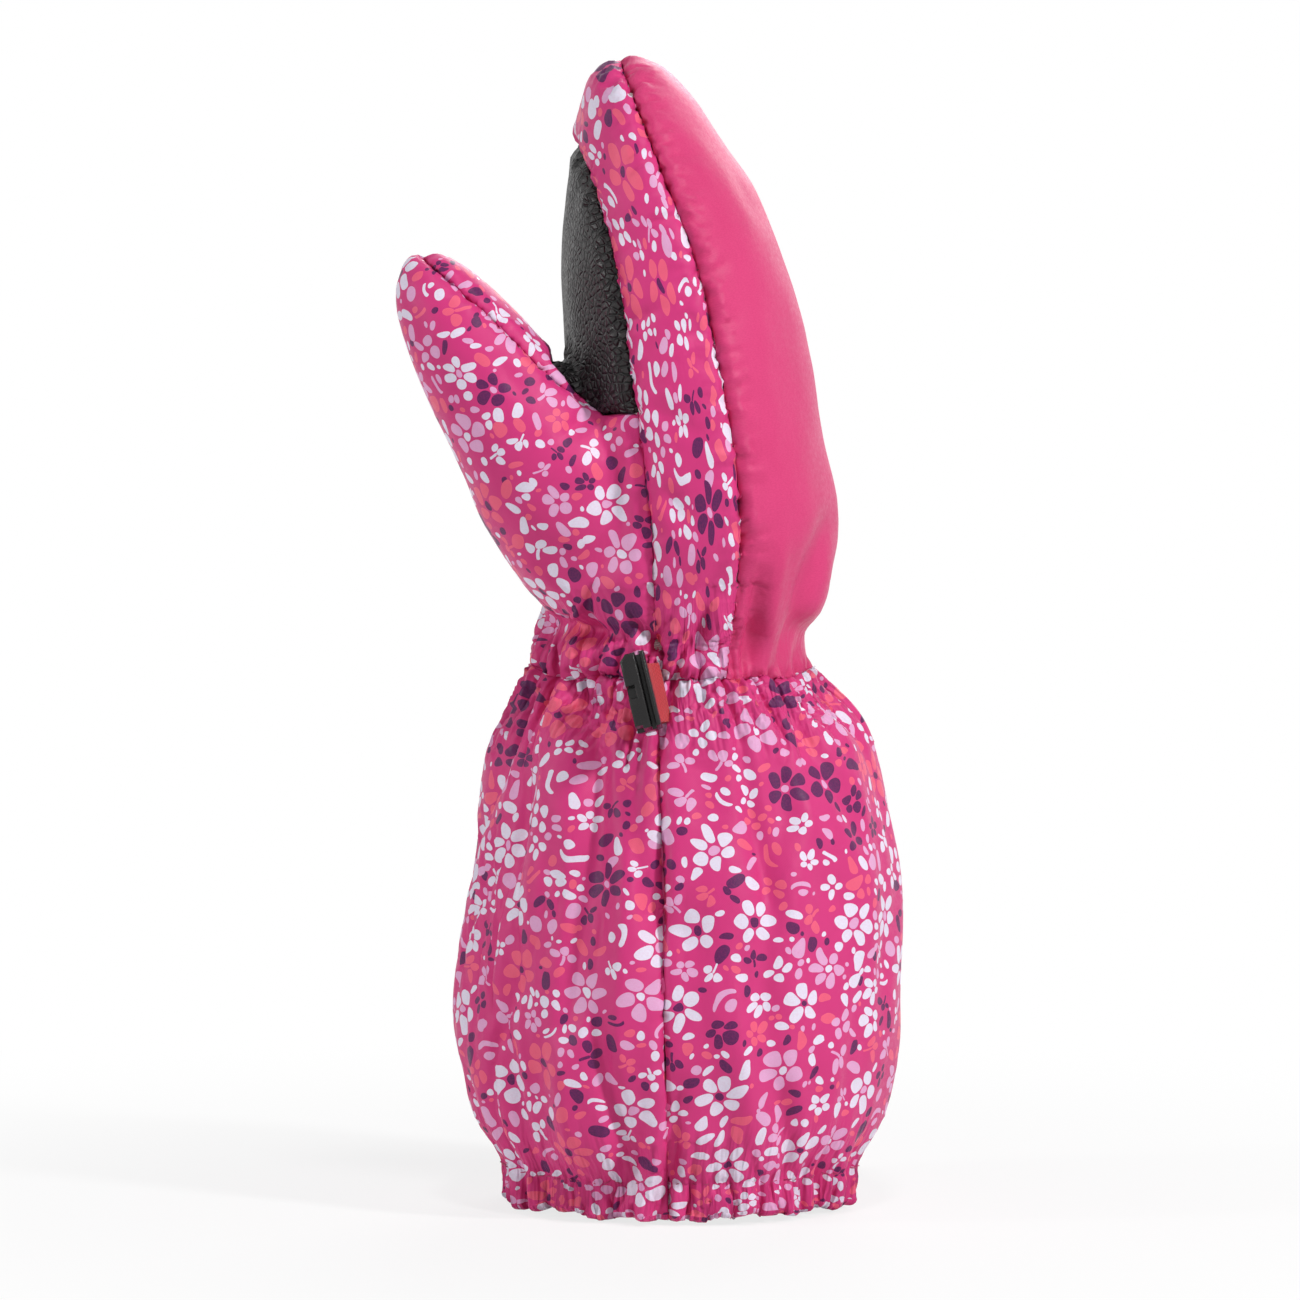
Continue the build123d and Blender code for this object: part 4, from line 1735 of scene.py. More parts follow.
class NodeBoard(Nodes):
    """A new material's nodes, with the calls that the finishes share."""

    def __init__(self, name: str) -> None:
        """Starts a material with one Principled shader."""
        self.material = bpy.data.materials.new(name)
        self.material.use_nodes = True
        super().__init__(self.material.node_tree)
        self.shader = self.tree.nodes["Principled BSDF"]

    def vector(self, operation: str, *values: object) -> bpy.types.Node:
        """A vector maths node."""
        made = self.add("VectorMath", operation=operation)
        for socket, value in zip(made.inputs, values):
            self.feed(socket, value)
        return made

    def mix(self, share: object, first: object, second: object) -> Socket:
        """A colour between two others."""
        made = self.add("Mix", data_type="RGBA")
        self.feed(made.inputs[0], share)
        self.feed(made.inputs[6], first)
        self.feed(made.inputs[7], second)
        return made.outputs[2]

    def soft_range(
        self, value: object, low: float, high: float, to_low: float = 0.0, to_high: float = 1.0
    ) -> Socket:
        """A value mapped softly from one range to another."""
        made = self.add("MapRange", interpolation_type="SMOOTHSTEP")
        for place, number in enumerate((value, low, high, to_low, to_high)):
            self.feed(made.inputs[place], number)
        return made.outputs[0]

    def noise(self, where: object, scale: float, detail: float = 3.0, rough: float = 0.55) -> Socket:
        """A noise value."""
        made = self.add("TexNoise")
        self.put(made, Vector=where, Scale=scale, Detail=detail, Roughness=rough)
        return made.outputs[0]

    def place(self) -> Socket:
        """The place on the object, in metres."""
        return self.add("TexCoord").outputs["Object"]

    def place_mm(self) -> Socket:
        """The place on the object, in millimetres."""
        return self.scaled(self.place(), 1 / MM)

    def split(self, vector: object) -> Sequence[Socket]:
        """The x, y and z of a vector."""
        made = self.add("SeparateXYZ")
        self.feed(made.inputs[0], vector)
        return made.outputs

    def cloth(self) -> Socket:
        """The place on the cloth, in millimetres."""
        made = self.add("UVMap", uv_map="Fabric")
        return self.scaled(made.outputs[0], FABRIC_UNIT)

    def scaled(self, value: object, factor: float) -> Socket:
        """A vector times a number."""
        made = self.add("VectorMath", operation="SCALE")
        self.feed(made.inputs[0], value)
        made.inputs["Scale"].default_value = factor
        return made.outputs[0]

    def bump(
        self, height: object, distance: float, strength: float = 1.0, after: Optional[Socket] = None
    ) -> Socket:
        """A bumped normal from a height."""
        made = self.add("Bump")
        self.put(made, Strength=strength, Distance=distance * MM, Height=height)
        if after is not None:
            self.put(made, Normal=after)
        return made.outputs[0]

    def shade(self, **values: object) -> None:
        """Feeds the shader's inputs."""
        self.put(self.shader, **values)


@dataclass(frozen=True)
class WovenCloth:
    """What every woven face cloth shares: a fine weave and a soft sheen."""

    name: str
    pitch: float = 0.42
    rough: float = 0.42
    sheen: float = 0.03
    ridge: float = 3.4
    drawn_in: Tuple[float, float] = (124.0, 6.0)  # heights of the wrist's and the hem's elastic

    def weave(self, board: NodeBoard, cloth: Socket) -> Socket:
        """The height of the weave."""
        across, along, _ = board.split(cloth)
        warp, weft = (board.math("SINE", board.times(way, math.tau / self.pitch)) for way in (across, along))
        return board.times(warp, weft)

    def finish_cloth(self, board: NodeBoard, cloth: Socket, colour: object) -> Material:
        """Feeds the shader for a woven cloth of a colour."""
        wrinkle = board.noise(cloth, 0.12, 3.0, 0.5)
        height = board.split(board.place_mm())[2]
        from_wrist = board.math("ABSOLUTE", board.minus(height, self.drawn_in[0]))
        near_wrist = board.soft_range(from_wrist, 4.0, 22.0, 1.0, 0.0)
        near_hem = board.soft_range(height, self.drawn_in[1], 30.0, 1.0, 0.0)
        near = board.math("MAXIMUM", near_wrist, near_hem)
        upright = board.vector("MULTIPLY", cloth, (1.0, 0.13, 1.0)).outputs[0]
        ridges = board.times(board.noise(upright, 0.42, 2.0, 0.5), near)
        fine = board.bump(self.weave(board, cloth), 0.02, 0.6)
        drawn = board.bump(ridges, self.ridge, 0.9, fine)
        soft = board.bump(wrinkle, 0.55, 0.55, drawn)
        wear = board.soft_range(board.noise(cloth, 0.9, 2.0), 0.3, 0.7, self.rough - 0.06, self.rough + 0.08)
        board.shade(Base_Color=colour, Roughness=wear, Normal=soft, Specular_IOR_Level=0.2)
        board.shade(Sheen_Weight=self.sheen, Sheen_Roughness=0.4)
        return board.material


@dataclass(frozen=True)
class Motif:
    """One scattered motif of the print, in millimetres: its spacing, its largest and least radius."""

    cell: float
    size: float
    least: float
    jitter: float
    offset: Point


@dataclass(frozen=True)
class FloralPrint(WovenCloth):
    """A small scattered flower print of the maker's own on a bright ground."""

    name: str = "floral_print"
    ground: Colour = (212, 58, 126)
    pale: Colour = (233, 228, 246)
    lilac: Colour = (229, 172, 213)
    coral: Colour = (238, 98, 128)
    plum: Colour = (86, 34, 86)
    layers: Tuple[Motif, ...] = (
        Motif(19.0, 5.2, 3.0, 0.9, (3.0, 7.0, 0.0)),
        Motif(7.8, 3.6, 2.1, 0.6, (41.0, 13.0, 0.0)),
        Motif(4.1, 2.3, 0.95, 0.42, (17.0, 59.0, 0.0)),
        Motif(2.45, 1.15, 0.5, 0.42, (71.0, 23.0, 0.0)),
    )
    gap: float = 0.2

    def cell(self, board: NodeBoard, where: object, motif: Motif) -> Dict[str, Socket]:
        """The motif cell round a place.

        Args:
            board: The material's nodes.
            where: Place on the cloth, in millimetres.
            motif: The motif.

        Returns:
            Its middle, its distance, three random values and the room in it.
        """
        moved = board.vector("ADD", where, motif.offset).outputs[0]
        spot = board.add("TexVoronoi", voronoi_dimensions="2D", feature="F1")
        room = board.add("TexVoronoi", voronoi_dimensions="2D", feature="N_SPHERE_RADIUS")
        for node in (spot, room):
            board.put(node, Vector=moved, Scale=1 / motif.cell, Randomness=motif.jitter)
        middle = spot.outputs["Position"]
        local = board.vector("SUBTRACT", moved, middle).outputs[0]
        chance = board.add("SeparateColor")
        board.feed(chance.inputs[0], spot.outputs["Color"])
        radius = board.times(room.outputs["Radius"], motif.cell)
        return {
            "middle": board.vector("SUBTRACT", middle, motif.offset).outputs[0],
            "local": local,
            "away": board.vector("LENGTH", local).outputs["Value"],
            "a": chance.outputs[0],
            "b": chance.outputs[1],
            "c": chance.outputs[2],
            "size": board.math("MINIMUM", radius, motif.size),
        }

    def turned(self, board: NodeBoard, cell: Dict[str, Socket]) -> Tuple[Socket, Socket]:
        """A cell's own x and y, turned at random and in shares of its motif's size."""
        spin = board.add("VectorRotate", rotation_type="Z_AXIS")
        board.put(spin, Vector=cell["local"], Angle=board.times(cell["a"], math.tau))
        x, y, _ = board.split(spin.outputs[0])
        size = board.math("MAXIMUM", cell["size"], 0.01)
        return board.math("DIVIDE", x, size), board.math("DIVIDE", y, size)

    def oval(self, board: NodeBoard, x: object, y: object, long: object, wide: object) -> Socket:
        """1 inside an oval, 0 outside."""
        squares = [board.math("POWER", board.math("DIVIDE", a, b), 2.0) for a, b in ((x, long), (y, wide))]
        return board.math("LESS_THAN", board.plus(*squares), 1.0)

    def petals(
        self, board: NodeBoard, x: Socket, y: Socket, count: object, middle: float, long: float, wide: object
    ) -> Socket:
        """1 inside one of the petals round a point; one petal points along x."""
        radius = board.math("SQRT", board.plus(board.times(x, x), board.times(y, y)))
        sector = board.math("DIVIDE", math.tau, count)
        half = board.times(sector, 0.5)
        angle = board.plus(board.math("ARCTAN2", y, x), half)
        inside = board.minus(board.math("FLOORED_MODULO", angle, sector), half)
        px = board.minus(board.times(radius, board.math("COSINE", inside)), middle)
        py = board.times(radius, board.math("SINE", inside))
        return self.oval(board, px, py, long, wide)

    def bar(self, board: NodeBoard, x: Socket, y: Socket, half: float, thick: float, bend: float) -> Socket:
        """1 inside a bent bar with round ends."""
        off = board.math("MULTIPLY_ADD", board.times(x, x), bend, y)
        off = board.minus(off, bend * half * half * 0.4)
        past = board.math("MAXIMUM", board.minus(board.math("ABSOLUTE", x), half), 0.0)
        square = board.plus(board.times(off, off), board.times(past, past))
        return board.math("LESS_THAN", square, thick * thick)

    def colour_of(self, board: NodeBoard, chance: Socket, shares: Shares) -> Socket:
        """One of the print's colours, by a random value."""
        ramp = board.add("ValToRGB")
        ramp.color_ramp.interpolation = "CONSTANT"
        points = ramp.color_ramp.elements
        for point, (position, colour) in zip(points, shares):
            point.position, point.color = position, linear(*colour)
        for position, colour in shares[2:]:
            points.new(position).color = linear(*colour)
        board.feed(ramp.inputs[0], chance)
        return ramp.outputs[0]

    def fitted(self, board: NodeBoard, where: object, layer: int) -> Dict[str, Socket]:
        """A layer's motif cell with its size cut to the room the layers above leave.

        Args:
            board: The material's nodes.
            where: Place on the cloth, in millimetres.
            layer: The motif's number in the layers; lower ones are printed on top.

        Returns:
            The cell; its size is 0 where the motif is left out.
        """
        motif = self.layers[layer]
        found = self.cell(board, where, motif)
        size = found["size"]
        for above in range(layer):
            other = self.fitted(board, found["middle"], above)
            room = board.minus(board.minus(other["away"], other["size"]), self.gap)
            size = board.math("MINIMUM", size, room)
        found["shown"] = board.math("GREATER_THAN", size, motif.least)
        found["size"] = board.times(size, found["shown"])
        return found

    def colour(self, board: NodeBoard, cloth: Socket) -> Socket:
        """The print's colour.

        Args:
            board: The material's nodes.
            cloth: Place on the cloth, in millimetres.

        Returns:
            The colour.
        """
        wobble = board.add("TexNoise", noise_dimensions="2D")
        board.put(wobble, Vector=cloth, Scale=0.22, Detail=0.0)
        lean = board.vector("SUBTRACT", wobble.outputs["Color"], (0.5, 0.5, 0.5)).outputs[0]
        bent = board.vector("ADD", cloth, board.scaled(lean, 1.8)).outputs[0]
        pale, lilac, coral, plum = self.pale, self.lilac, self.coral, self.plum
        made = linear(*self.ground)

        seed = self.fitted(board, bent, 3)
        x, y = self.turned(board, seed)
        slim = board.math("MULTIPLY_ADD", seed["c"], 0.3, 0.66)
        shape = self.oval(board, x, y, 0.98, slim)
        dyes = ((0.0, lilac), (0.3, pale), (0.62, coral), (0.84, plum))
        made = self.printed(board, seed, made, shape, dyes)

        leaf = self.fitted(board, bent, 2)
        x, y = self.turned(board, leaf)
        slim = board.math("MULTIPLY_ADD", leaf["c"], 0.25, 0.55)
        shape = self.oval(board, x, y, 1.1, slim)
        dyes = ((0.0, pale), (0.38, lilac), (0.6, coral), (0.78, plum))
        made = self.printed(board, leaf, made, shape, dyes)

        sprig = self.fitted(board, bent, 1)
        x, y = self.turned(board, sprig)
        root = board.plus(x, 0.42)
        six = self.petals(board, root, y, 6.0, 0.68, 0.4, 0.29)
        fan = board.times(six, board.math("GREATER_THAN", root, 0.0))
        stem = self.bar(board, board.plus(root, 0.12), y, 0.3, 0.1, 0.0)
        fan = board.math("MAXIMUM", fan, stem)
        bars = self.bar(board, x, board.minus(y, 0.3), 0.62, 0.17, 0.4)
        pip = self.oval(board, board.minus(x, 0.2), board.plus(y, 0.42), 0.4, 0.3)
        bars = board.math("MAXIMUM", bars, pip)
        four = board.plus(4.0, board.math("GREATER_THAN", sprig["a"], 0.6))
        ring = self.petals(board, x, y, four, 0.6, 0.38, 0.31)
        first = board.math("LESS_THAN", sprig["c"], 0.4)
        last = board.math("GREATER_THAN", sprig["c"], 0.68)
        other = board.minus(board.minus(1.0, first), last)
        shape = board.plus(board.times(fan, first), board.times(ring, last))
        shape = board.plus(shape, board.times(bars, other))
        dyes = ((0.0, pale), (0.36, lilac), (0.6, coral), (0.78, plum))
        made = self.printed(board, sprig, made, shape, dyes)

        flower = self.fitted(board, bent, 0)
        x, y = self.turned(board, flower)
        count = board.plus(5.0, board.math("GREATER_THAN", flower["c"], 0.55))
        wide = board.math("DIVIDE", 1.5, count)
        shape = self.petals(board, x, y, count, 0.63, 0.36, wide)
        dyes = ((0.0, pale), (0.48, lilac), (0.66, coral), (0.78, plum))
        made = self.printed(board, flower, made, shape, dyes)
        eye = self.oval(board, x, y, 0.19, 0.19)
        dyes = ((0.0, lilac), (0.2, plum), (0.48, pale), (0.66, plum), (0.78, lilac))
        made = self.printed(board, flower, made, eye, dyes)
        thread = board.soft_range(board.noise(cloth, 2.2, 3.0, 0.7), 0.3, 0.75, 0.0, 0.14)
        return board.mix(thread, made, linear(*self.ground))

    def printed(
        self, board: NodeBoard, cell: Dict[str, Socket], under: object, shape: Socket, shares: Shares
    ) -> Socket:
        """A colour with a motif printed on it.

        Args:
            board: The material's nodes.
            cell: The motif's cell.
            under: The colour under it.
            shape: 1 inside the motif.
            shares: Its colours, each with the chance value it starts at.

        Returns:
            The colour.
        """
        share = board.times(shape, cell["shown"])
        return board.mix(share, under, self.colour_of(board, cell["b"], shares))

    def make(self) -> Material:
        """Makes the material."""
        board = NodeBoard(self.name)
        cloth = board.cloth()
        return self.finish_cloth(board, cloth, self.colour(board, cloth))


@dataclass(frozen=True)
class PlainCloth(WovenCloth):
    """A plain dyed cloth with a faint speckle."""

    name: str = "plain_cloth"
    dye: Colour = (217, 68, 124)
    deep: Colour = (190, 40, 96)
    speckle: float = 0.35
    fade: float = 0.25

    def make(self) -> Material:
        """Makes the material."""
        board = NodeBoard(self.name)
        cloth = board.cloth()
        flat = board.vector("MULTIPLY", cloth, (1.0, 2.4, 1.0)).outputs[0]
        grain = board.soft_range(board.noise(flat, 1.5, 4.0, 0.75), 0.35, 0.7)
        slow = board.soft_range(board.noise(cloth, 0.03, 3.0), 0.3, 0.7)
        share = board.plus(board.times(grain, self.speckle), board.times(slow, self.fade))
        colour = board.mix(share, linear(*self.dye), linear(*self.deep))
        return self.finish_cloth(board, cloth, colour)


@dataclass(frozen=True)
class GrainLeather:
    """Black pebbled synthetic leather."""

    name: str = "palm_leather"
    pebble: float = 1.5

    def make(self) -> Material:
        """Makes the material."""
        board = NodeBoard(self.name)
        cloth = board.cloth()
        cell = board.add("TexVoronoi", voronoi_dimensions="2D", feature="DISTANCE_TO_EDGE")
        board.put(cell, Vector=cloth, Scale=1 / self.pebble)
        groove = board.soft_range(cell.outputs["Distance"], 0.0, 0.28)
        swell = board.noise(cloth, 0.7, 3.0)
        height = board.plus(groove, board.times(swell, 0.6))
        colour = board.mix(groove, linear(10, 9, 10), linear(30, 27, 28))
        rough = board.soft_range(swell, 0.3, 0.7, 0.34, 0.5)
        board.shade(Base_Color=colour, Roughness=rough, Normal=board.bump(height, 0.55, 1.0))
        board.shade(Specular_IOR_Level=0.4)
        return board.material


@dataclass(frozen=True)
class Fleece:
    """Soft brushed pile or loose wadding."""

    name: str
    light: Colour
    dark: Colour
    tuft: float = 1.4

    def make(self) -> Material:
        """Makes the material."""
        board = NodeBoard(self.name)
        where = board.place_mm()
        pile = board.noise(where, 1 / self.tuft, 5.0, 0.7)
        curl = board.noise(where, 0.3, 3.0)
        colour = board.mix(board.soft_range(pile, 0.3, 0.7), linear(*self.dark), linear(*self.light))
        height = board.plus(pile, curl)
        board.shade(Base_Color=colour, Roughness=0.95, Normal=board.bump(height, 0.5, 0.8))
        board.shade(Sheen_Weight=0.5, Sheen_Roughness=0.6, Specular_IOR_Level=0.15)
        return board.material


@dataclass(frozen=True)
class Webbing:
    """Narrow woven tape or ribbed elastic."""

    name: str
    light: Colour
    dark: Colour
    rib: float = 0.9

    def make(self) -> Material:
        """Makes the material."""
        board = NodeBoard(self.name)
        cloth = board.cloth()
        across, along, _ = board.split(cloth)
        slant = board.plus(across, board.math("PINGPONG", along, self.rib))
        rib = board.math("SINE", board.times(slant, math.tau / self.rib))
        thread = board.math("SINE", board.times(along, math.tau / (self.rib * 0.5)))
        height = board.plus(rib, board.times(thread, 0.4))
        tone = board.soft_range(board.plus(height, board.noise(cloth, 1.2)), -1.0, 1.6)
        colour = board.mix(tone, linear(*self.dark), linear(*self.light))
        board.shade(Base_Color=colour, Roughness=0.62, Normal=board.bump(height, 0.07, 0.9))
        board.shade(Sheen_Weight=0.2, Specular_IOR_Level=0.3)
        return board.material


@dataclass(frozen=True)
class MouldedPlastic:
    """Glossy black moulded plastic with faint mould texture."""

    name: str = "clip_plastic"

    def make(self) -> Material:
        """Makes the material."""
        board = NodeBoard(self.name)
        where = board.place_mm()
        grain = board.noise(where, 2.2, 3.0)
        flow = board.noise(where, 0.35, 2.0)
        colour = board.mix(flow, linear(12, 11, 12), linear(24, 21, 22))
        rough = board.soft_range(grain, 0.3, 0.7, 0.16, 0.28)
        board.shade(Base_Color=colour, Roughness=rough, Normal=board.bump(grain, 0.02, 0.5))
        board.shade(Specular_IOR_Level=0.35)
        return board.material


@dataclass(frozen=True)
class SewingThread:
    """Twisted polyester thread."""

    name: str
    dye: Colour

    def make(self) -> Material:
        """Makes the material."""
        board = NodeBoard(self.name)
        where = board.place_mm()
        ply = board.noise(where, 4.0, 2.0)
        dark = tuple(int(part * 0.7) for part in self.dye)
        board.shade(Base_Color=board.mix(ply, linear(*dark), linear(*self.dye)), Roughness=0.55)
        board.shade(Normal=board.bump(ply, 0.05, 0.7), Sheen_Weight=0.2)
        return board.material


# --- Stage ---


@dataclass
class Stage:
    """A pale floor, soft lamps and the long-lens camera of the photograph."""

    elevation: float = math.radians(5.0)
    distance: float = 2.4
    frame_width: float = 0.2938
    look_x: float = -0.0006
    look_z: float = 0.1266
    floor_reach: float = 6.0
    shadow_reach: float = 0.32
    shadow_white: float = 0.78  # how white the camera sees the floor under the mitten
    world_light: float = 0.07
    aim: Point = (0, 0, 0.12)  # where the lamps point

    def camera(self) -> None:
        """Adds the camera and makes it the scene's."""
        data = bpy.data.cameras.new("photo_camera")
        data.sensor_width = 36.0
        data.lens = data.sensor_width * self.distance / self.frame_width
        data.clip_end = 50.0
        made = bpy.data.objects.new("photo_camera", data)
        bpy.context.collection.objects.link(made)
        towards = Vector((0, -math.cos(self.elevation), math.sin(self.elevation)))
        target = Vector((self.look_x, 0, self.look_z))
        made.location = target + towards * self.distance
        made.rotation_euler = (-towards).to_track_quat("-Z", "Y").to_euler()
        bpy.context.scene.camera = made

    def lamp(self, name: str, place: Point, size: float, power: float) -> None:
        """Adds one soft lamp aimed at the mitten.

        Args:
            name: Its name.
            place: Where it stands, in metres.
            size: Its side.
            power: Watts.
        """
        data = bpy.data.lights.new(name, "AREA")
        data.size = size
        data.energy = power
        made = bpy.data.objects.new(name, data)
        bpy.context.collection.objects.link(made)
        made.location = place
        made.rotation_euler = (Vector(self.aim) - Vector(place)).to_track_quat("-Z", "Y").to_euler()

    def lamps(self) -> None:
        """Adds the lamps."""
        self.lamp("key_lamp", (1.2, -0.9, 1.0), 0.18, 19.0)
        self.lamp("fill_lamp", (-1.6, -0.45, 0.6), 0.2, 9.0)
        self.lamp("top_lamp", (0.1, -0.7, 1.6), 0.2, 8.0)
        self.lamp("back_lamp", (0.4, 1.5, 0.8), 0.8, 9.0)

    def white_for_camera(self, nodes: Nodes, plain: Socket, white: Socket, share: object) -> Socket:
        """Mixes white in for what the camera and shiny surfaces see.

        Args:
            nodes: The nodes.
            plain: The lit shader.
            white: The white one.
            share: How much white, as a number or a socket.

        Returns:
            The mixed shader.
        """
        path = nodes.add("LightPath")
        seen = path.outputs["Is Camera Ray"]
        for kind in ("Is Glossy Ray", "Is Transmission Ray"):
            seen = nodes.math("MAXIMUM", seen, path.outputs[kind])
        mix = nodes.add("MixShader")
        for socket, value in zip(mix.inputs, (nodes.times(seen, share), plain, white)):
            nodes.feed(socket, value)
        return mix.outputs[0]

    def world(self) -> None:
        """A soft grey world that the camera sees as white."""
        world = bpy.data.worlds.new("studio")
        bpy.context.scene.world = world
        world.use_nodes = True
        nodes = Nodes(world.node_tree)
        plain = nodes.tree.nodes["Background"]
        white = nodes.add("Background")
        for shader, strength in ((plain, self.world_light), (white, 1.0)):
            nodes.put(shader, Color=(1, 1, 1, 1), Strength=strength)
        seen = self.white_for_camera(nodes, plain.outputs[0], white.outputs[0], 1.0)
        nodes.put(nodes.tree.nodes["World Output"], Surface=seen)

    def floor(self) -> None:
        """A plain pale floor."""
        deselect()
        bpy.ops.mesh.primitive_circle_add(vertices=96, radius=self.floor_reach, fill_type="NGON")
        made = bpy.context.object
        made.name = "floor"
        board = NodeBoard("pale_floor")
        board.shade(Base_Color=(0.86, 0.86, 0.86, 1), Roughness=0.8)
        white = board.add("Emission")
        board.put(white, Color=(1, 1, 1, 1), Strength=1.0)
        away = board.vector("LENGTH", board.place()).outputs["Value"]
        fade = board.soft_range(away, self.shadow_reach * 0.2, self.shadow_reach, self.shadow_white, 1.0)
        seen = self.white_for_camera(board, board.shader.outputs[0], white.outputs[0], fade)
        board.put(board.tree.nodes["Material Output"], Surface=seen)
        made.data.materials.append(board.material)

    def build(self) -> None:
        """Sets up camera, lamps, world and floor."""
        bpy.context.scene.view_settings.view_transform = "Standard"
        self.camera()
        self.lamps()
        self.world()
        self.floor()


# --- The whole mitten ---


def dress(piece: Piece, material: Material, body: str, slot: str, *nodes: str) -> None:
    """Gives a piece its finish, its body and the frame pieces it stands for.

    Args:
        piece: The piece.
        material: Its finish.
        body: The body it moves with.
        slot: The record's material slot; not used.
        *nodes: The frame pieces it replaces.
    """
    piece.data.materials.clear()
    piece.data.materials.append(material)
    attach(piece, body)
    if nodes:
        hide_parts(*nodes)
    LOG.info("%s rides on %s", piece.name, body)


@dataclass(frozen=True)
class Cut:
    """A sheet's flat size before it was gathered, in metres, measured on its cloth map."""

    width: float
    length: float
    area: float  # square metres; the pieces taper

    def declare(self, piece: Piece) -> None:
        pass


CUFF_CUTS = {Panel.CUFF_PALM: Cut(0.171, 0.148, 0.0232), Panel.CUFF_BACK: Cut(0.188, 0.167, 0.0247)}
LINING_CUT = Cut(0.303, 0.113, 0.0336)


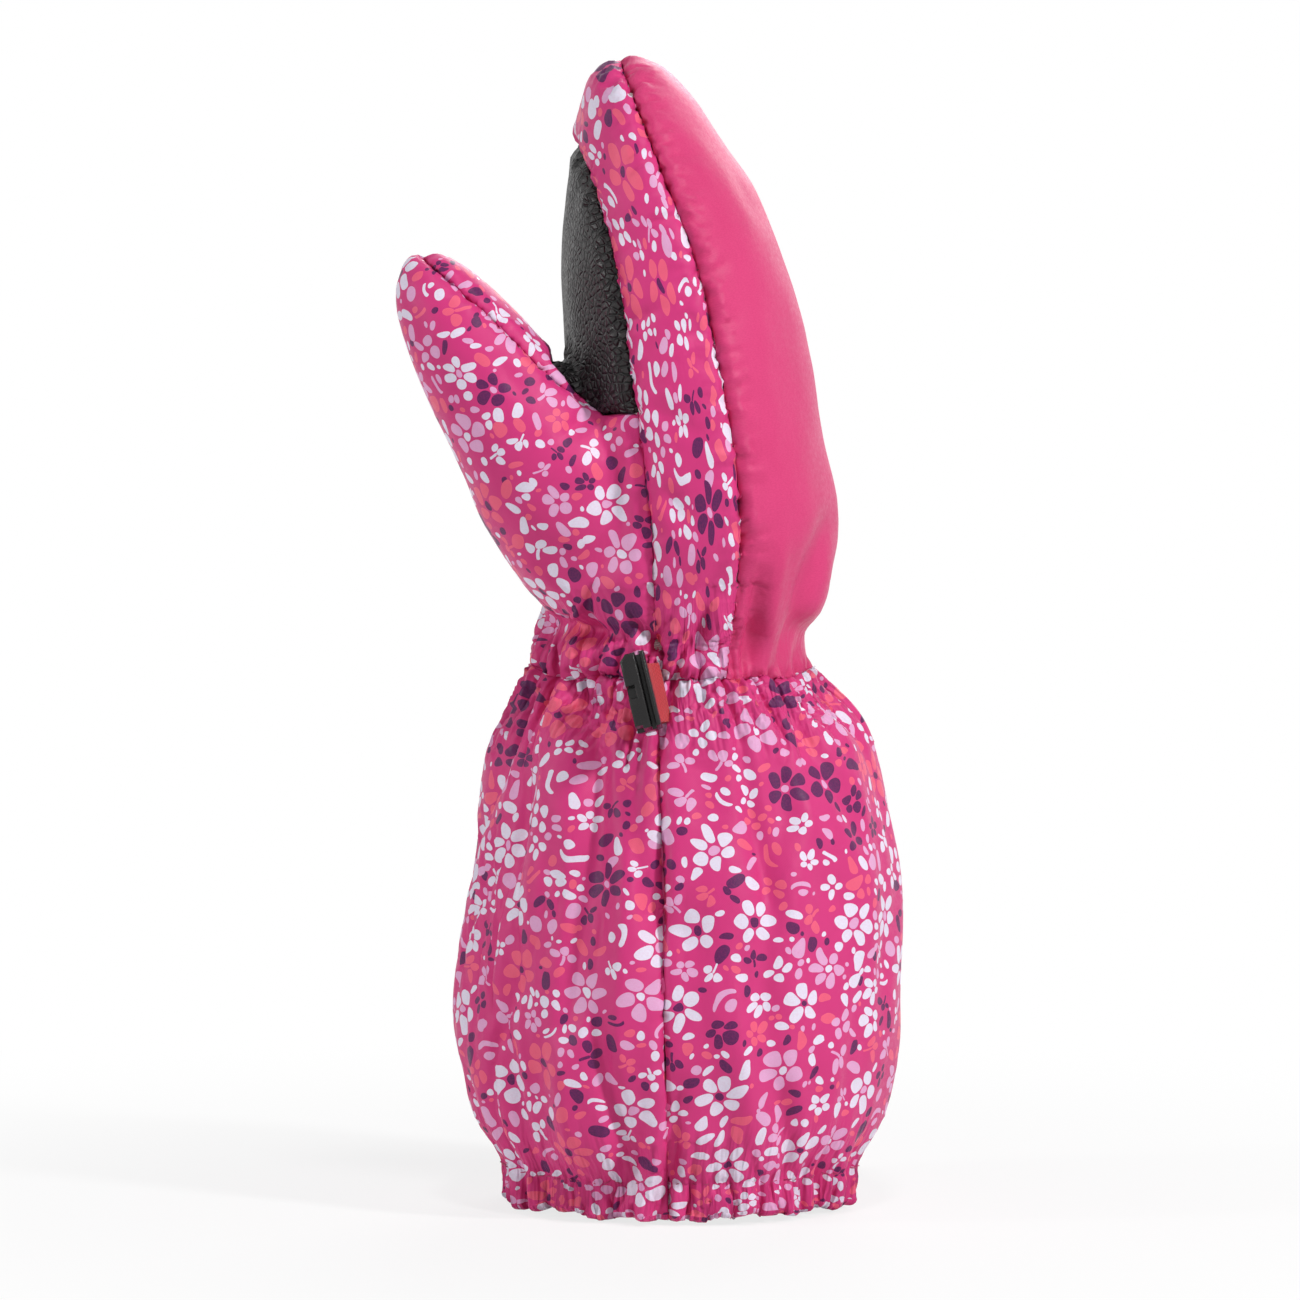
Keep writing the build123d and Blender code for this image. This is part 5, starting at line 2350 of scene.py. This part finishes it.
@dataclass
class Mitten:
    """The whole mitten: its soft pieces, its tape and clip, and their finishes."""

    frame: dict
    form: MittenForm = field(default_factory=MittenForm)
    folds: Folds = field(default_factory=Folds)
    drawn_cuff_x: float = 6.23
    body: str = "mitten"

    def settle_form(self) -> None:
        """Moves the form to where the frame has the cuff."""
        corners = [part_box(Panel.CUFF_PALM.value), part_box(Panel.CUFF_BACK.value)]
        low = np.min([np.array(c[0]) for c in corners], axis=0) / MM
        high = np.max([np.array(c[1]) for c in corners], axis=0) / MM
        self.form.shift_x = float((low[0] + high[0]) / 2 - self.drawn_cuff_x)
        self.form.shift_y = float((low[1] + high[1]) / 2)
        LOG.info("form shifted by %.3f, %.3f mm", self.form.shift_x, self.form.shift_y)

    def shell(self) -> OuterShell:
        """Builds and dresses the outer pieces."""
        outer = OuterShell(self.form, self.folds)
        made = outer.build()
        printed = FloralPrint().make()
        plain = PlainCloth("plain_shell", ridge=0.5).make()
        leather = GrainLeather().make()
        for panel, piece in made.items():
            if panel is Panel.BACK:
                dress(piece, plain, self.body, "plain_fabric", panel.value)
            elif panel is Panel.PALM:
                dress(piece, leather, self.body, "palm_leather", panel.value)
            else:
                dress(piece, printed, self.body, "print_fabric", panel.value)
            if panel in CUFF_CUTS:
                CUFF_CUTS[panel].declare(piece)
        return outer

    def lining_inset(self, z: float) -> float:
        """How far the cuff's lining lies inside the shell at a height; it narrows to the wrist."""
        return 1.8 + 3.4 * float(smoothstep(104.0, 121.0, np.array(z)))

    def inner_layers(self, cover: BVHTree) -> None:
        """Builds the wadding, the fleece, the elastics and the cuff lining.

        Args:
            cover: The shell over them.
        """
        wadding = Fleece("wadding_fill", (236, 234, 232), (206, 203, 200)).make()
        fleece = Fleece("fleece_lining", (214, 128, 172), (172, 84, 132)).make()
        taffeta = PlainCloth("cuff_taffeta", dye=(196, 66, 122), deep=(168, 48, 100), rough=0.4, sheen=0.1)
        lining = taffeta.make()
        elastic = Webbing("ribbed_elastic", (236, 234, 230), (188, 184, 178), 1.3).make()
        for node, piece in HandLayer(self.form, "wadding", 2.8, 1.6, 132.0, 1.5).build(cover).items():
            dress(piece, wadding, self.body, "wadding", node)
        for node, piece in HandLayer(self.form, "lining", 4.9, 1.4, 122.3, 3.4).build(cover).items():
            dress(piece, fleece, self.body, "fleece", node)
        levels = np.concatenate([np.arange(8.8, 121.6, 1.9), [121.7]])
        inner = Band(self.form, self.folds, "cuff_inner_cloth", levels, self.lining_inset, 0.4, 0.8)
        piece = inner.build(cover)
        dress(piece, lining, self.body, "cuff_lining", "cuff_lining")
        LINING_CUT.declare(piece)
        levels = np.linspace(123.8, 130.8, 9)
        wrist = Band(self.form, self.folds, "wrist_elastic_band", levels, lambda z: 1.7, 1.1, 0.9)
        dress(wrist.build(cover), elastic, self.body, "elastic", "wrist_elastic")
        levels = np.linspace(2.8, 8.2, 8)
        hem = Band(self.form, self.folds, "hem_elastic_band", levels, lambda z: 2.0, 0.7, 0.5)
        dress(hem.build(cover), elastic, self.body, "elastic", "hem_elastic")

    def trim(self) -> None:
        """Builds the tape loop and the clip."""
        tape = Webbing("red_tape", (206, 52, 60), (150, 26, 34), 0.9).make()
        hinges = {joint["name"]: joint for joint in self.frame["joints"]}
        ends = [hinges[name]["pos_m"] for name in ("tape_loop_hinge", "clip_hinge")]
        root, bar = (tuple(part / MM for part in end) for end in ends)
        loop = TapeLoop(root, bar, tuple(hinges["clip_hinge"]["axis"]))
        dress(loop.build(), tape, "tape_loop", "tape", "tape_loop")
        clip = SnapHook()
        piece = clip.build(self.frame["nodes"][clip.node])
        dress(piece, MouldedPlastic().make(), "clip", "clip_plastic", clip.node)

    def stitching(self, outer: OuterShell, cloth: BVHTree) -> None:
        """Sews the hem and marks the back seam.

        Args:
            outer: The finished shell.
            cloth: Its surface.
        """
        surface = outer.surface
        pink = SewingThread("pink_thread", (204, 50, 112)).make()
        plum = SewingThread("dark_thread", (96, 30, 66)).make()
        turns = np.linspace(0, math.tau, 400)
        level = np.full(len(turns), self.folds.stitch_line)
        around = [Vector(p) for p in self.form.body_point(level, turns, 0.6)]
        row = Thread("hem_stitches", 2.3, 0.9, 0.17)
        dress(row.along_path(around, cloth).build(row.name), pink, self.body, "print_fabric")
        lines = outer.seam_lines(ClothMesh(outer.flat_points, surface.faces), outer.ids)
        back = lines[Seam.BACK]
        for name, near in (("back_seam_stitches", True), ("far_seam_stitches", False)):
            mine = [i for i in back if (outer.flat_points[i][1] < self.form.shift_y) == near]
            mine.sort(key=lambda i: outer.flat_points[i][2])
            path = [Vector(surface.points[i]) for i in mine]
            marks = Thread(name, 1.1, 2.6, 0.14)
            dress(marks.along_path(path, cloth, across=True).build(name), plum, self.body, "print_fabric")

    def build(self) -> None:
        """Builds every piece of the mitten."""
        self.settle_form()
        outer = self.shell()
        cover = BVHTree.FromPolygons([tuple(p) for p in outer.surface.points], outer.surface.faces)
        self.inner_layers(cover)
        self.trim()
        self.stitching(outer, cover)


def main() -> None:
    """Builds the stage and the mitten."""
    logging.basicConfig(level=logging.INFO, format="%(name)s: %(message)s")
    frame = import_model()
    Stage().build()
    Mitten(frame).build()


if __name__ == "__main__":
    main()
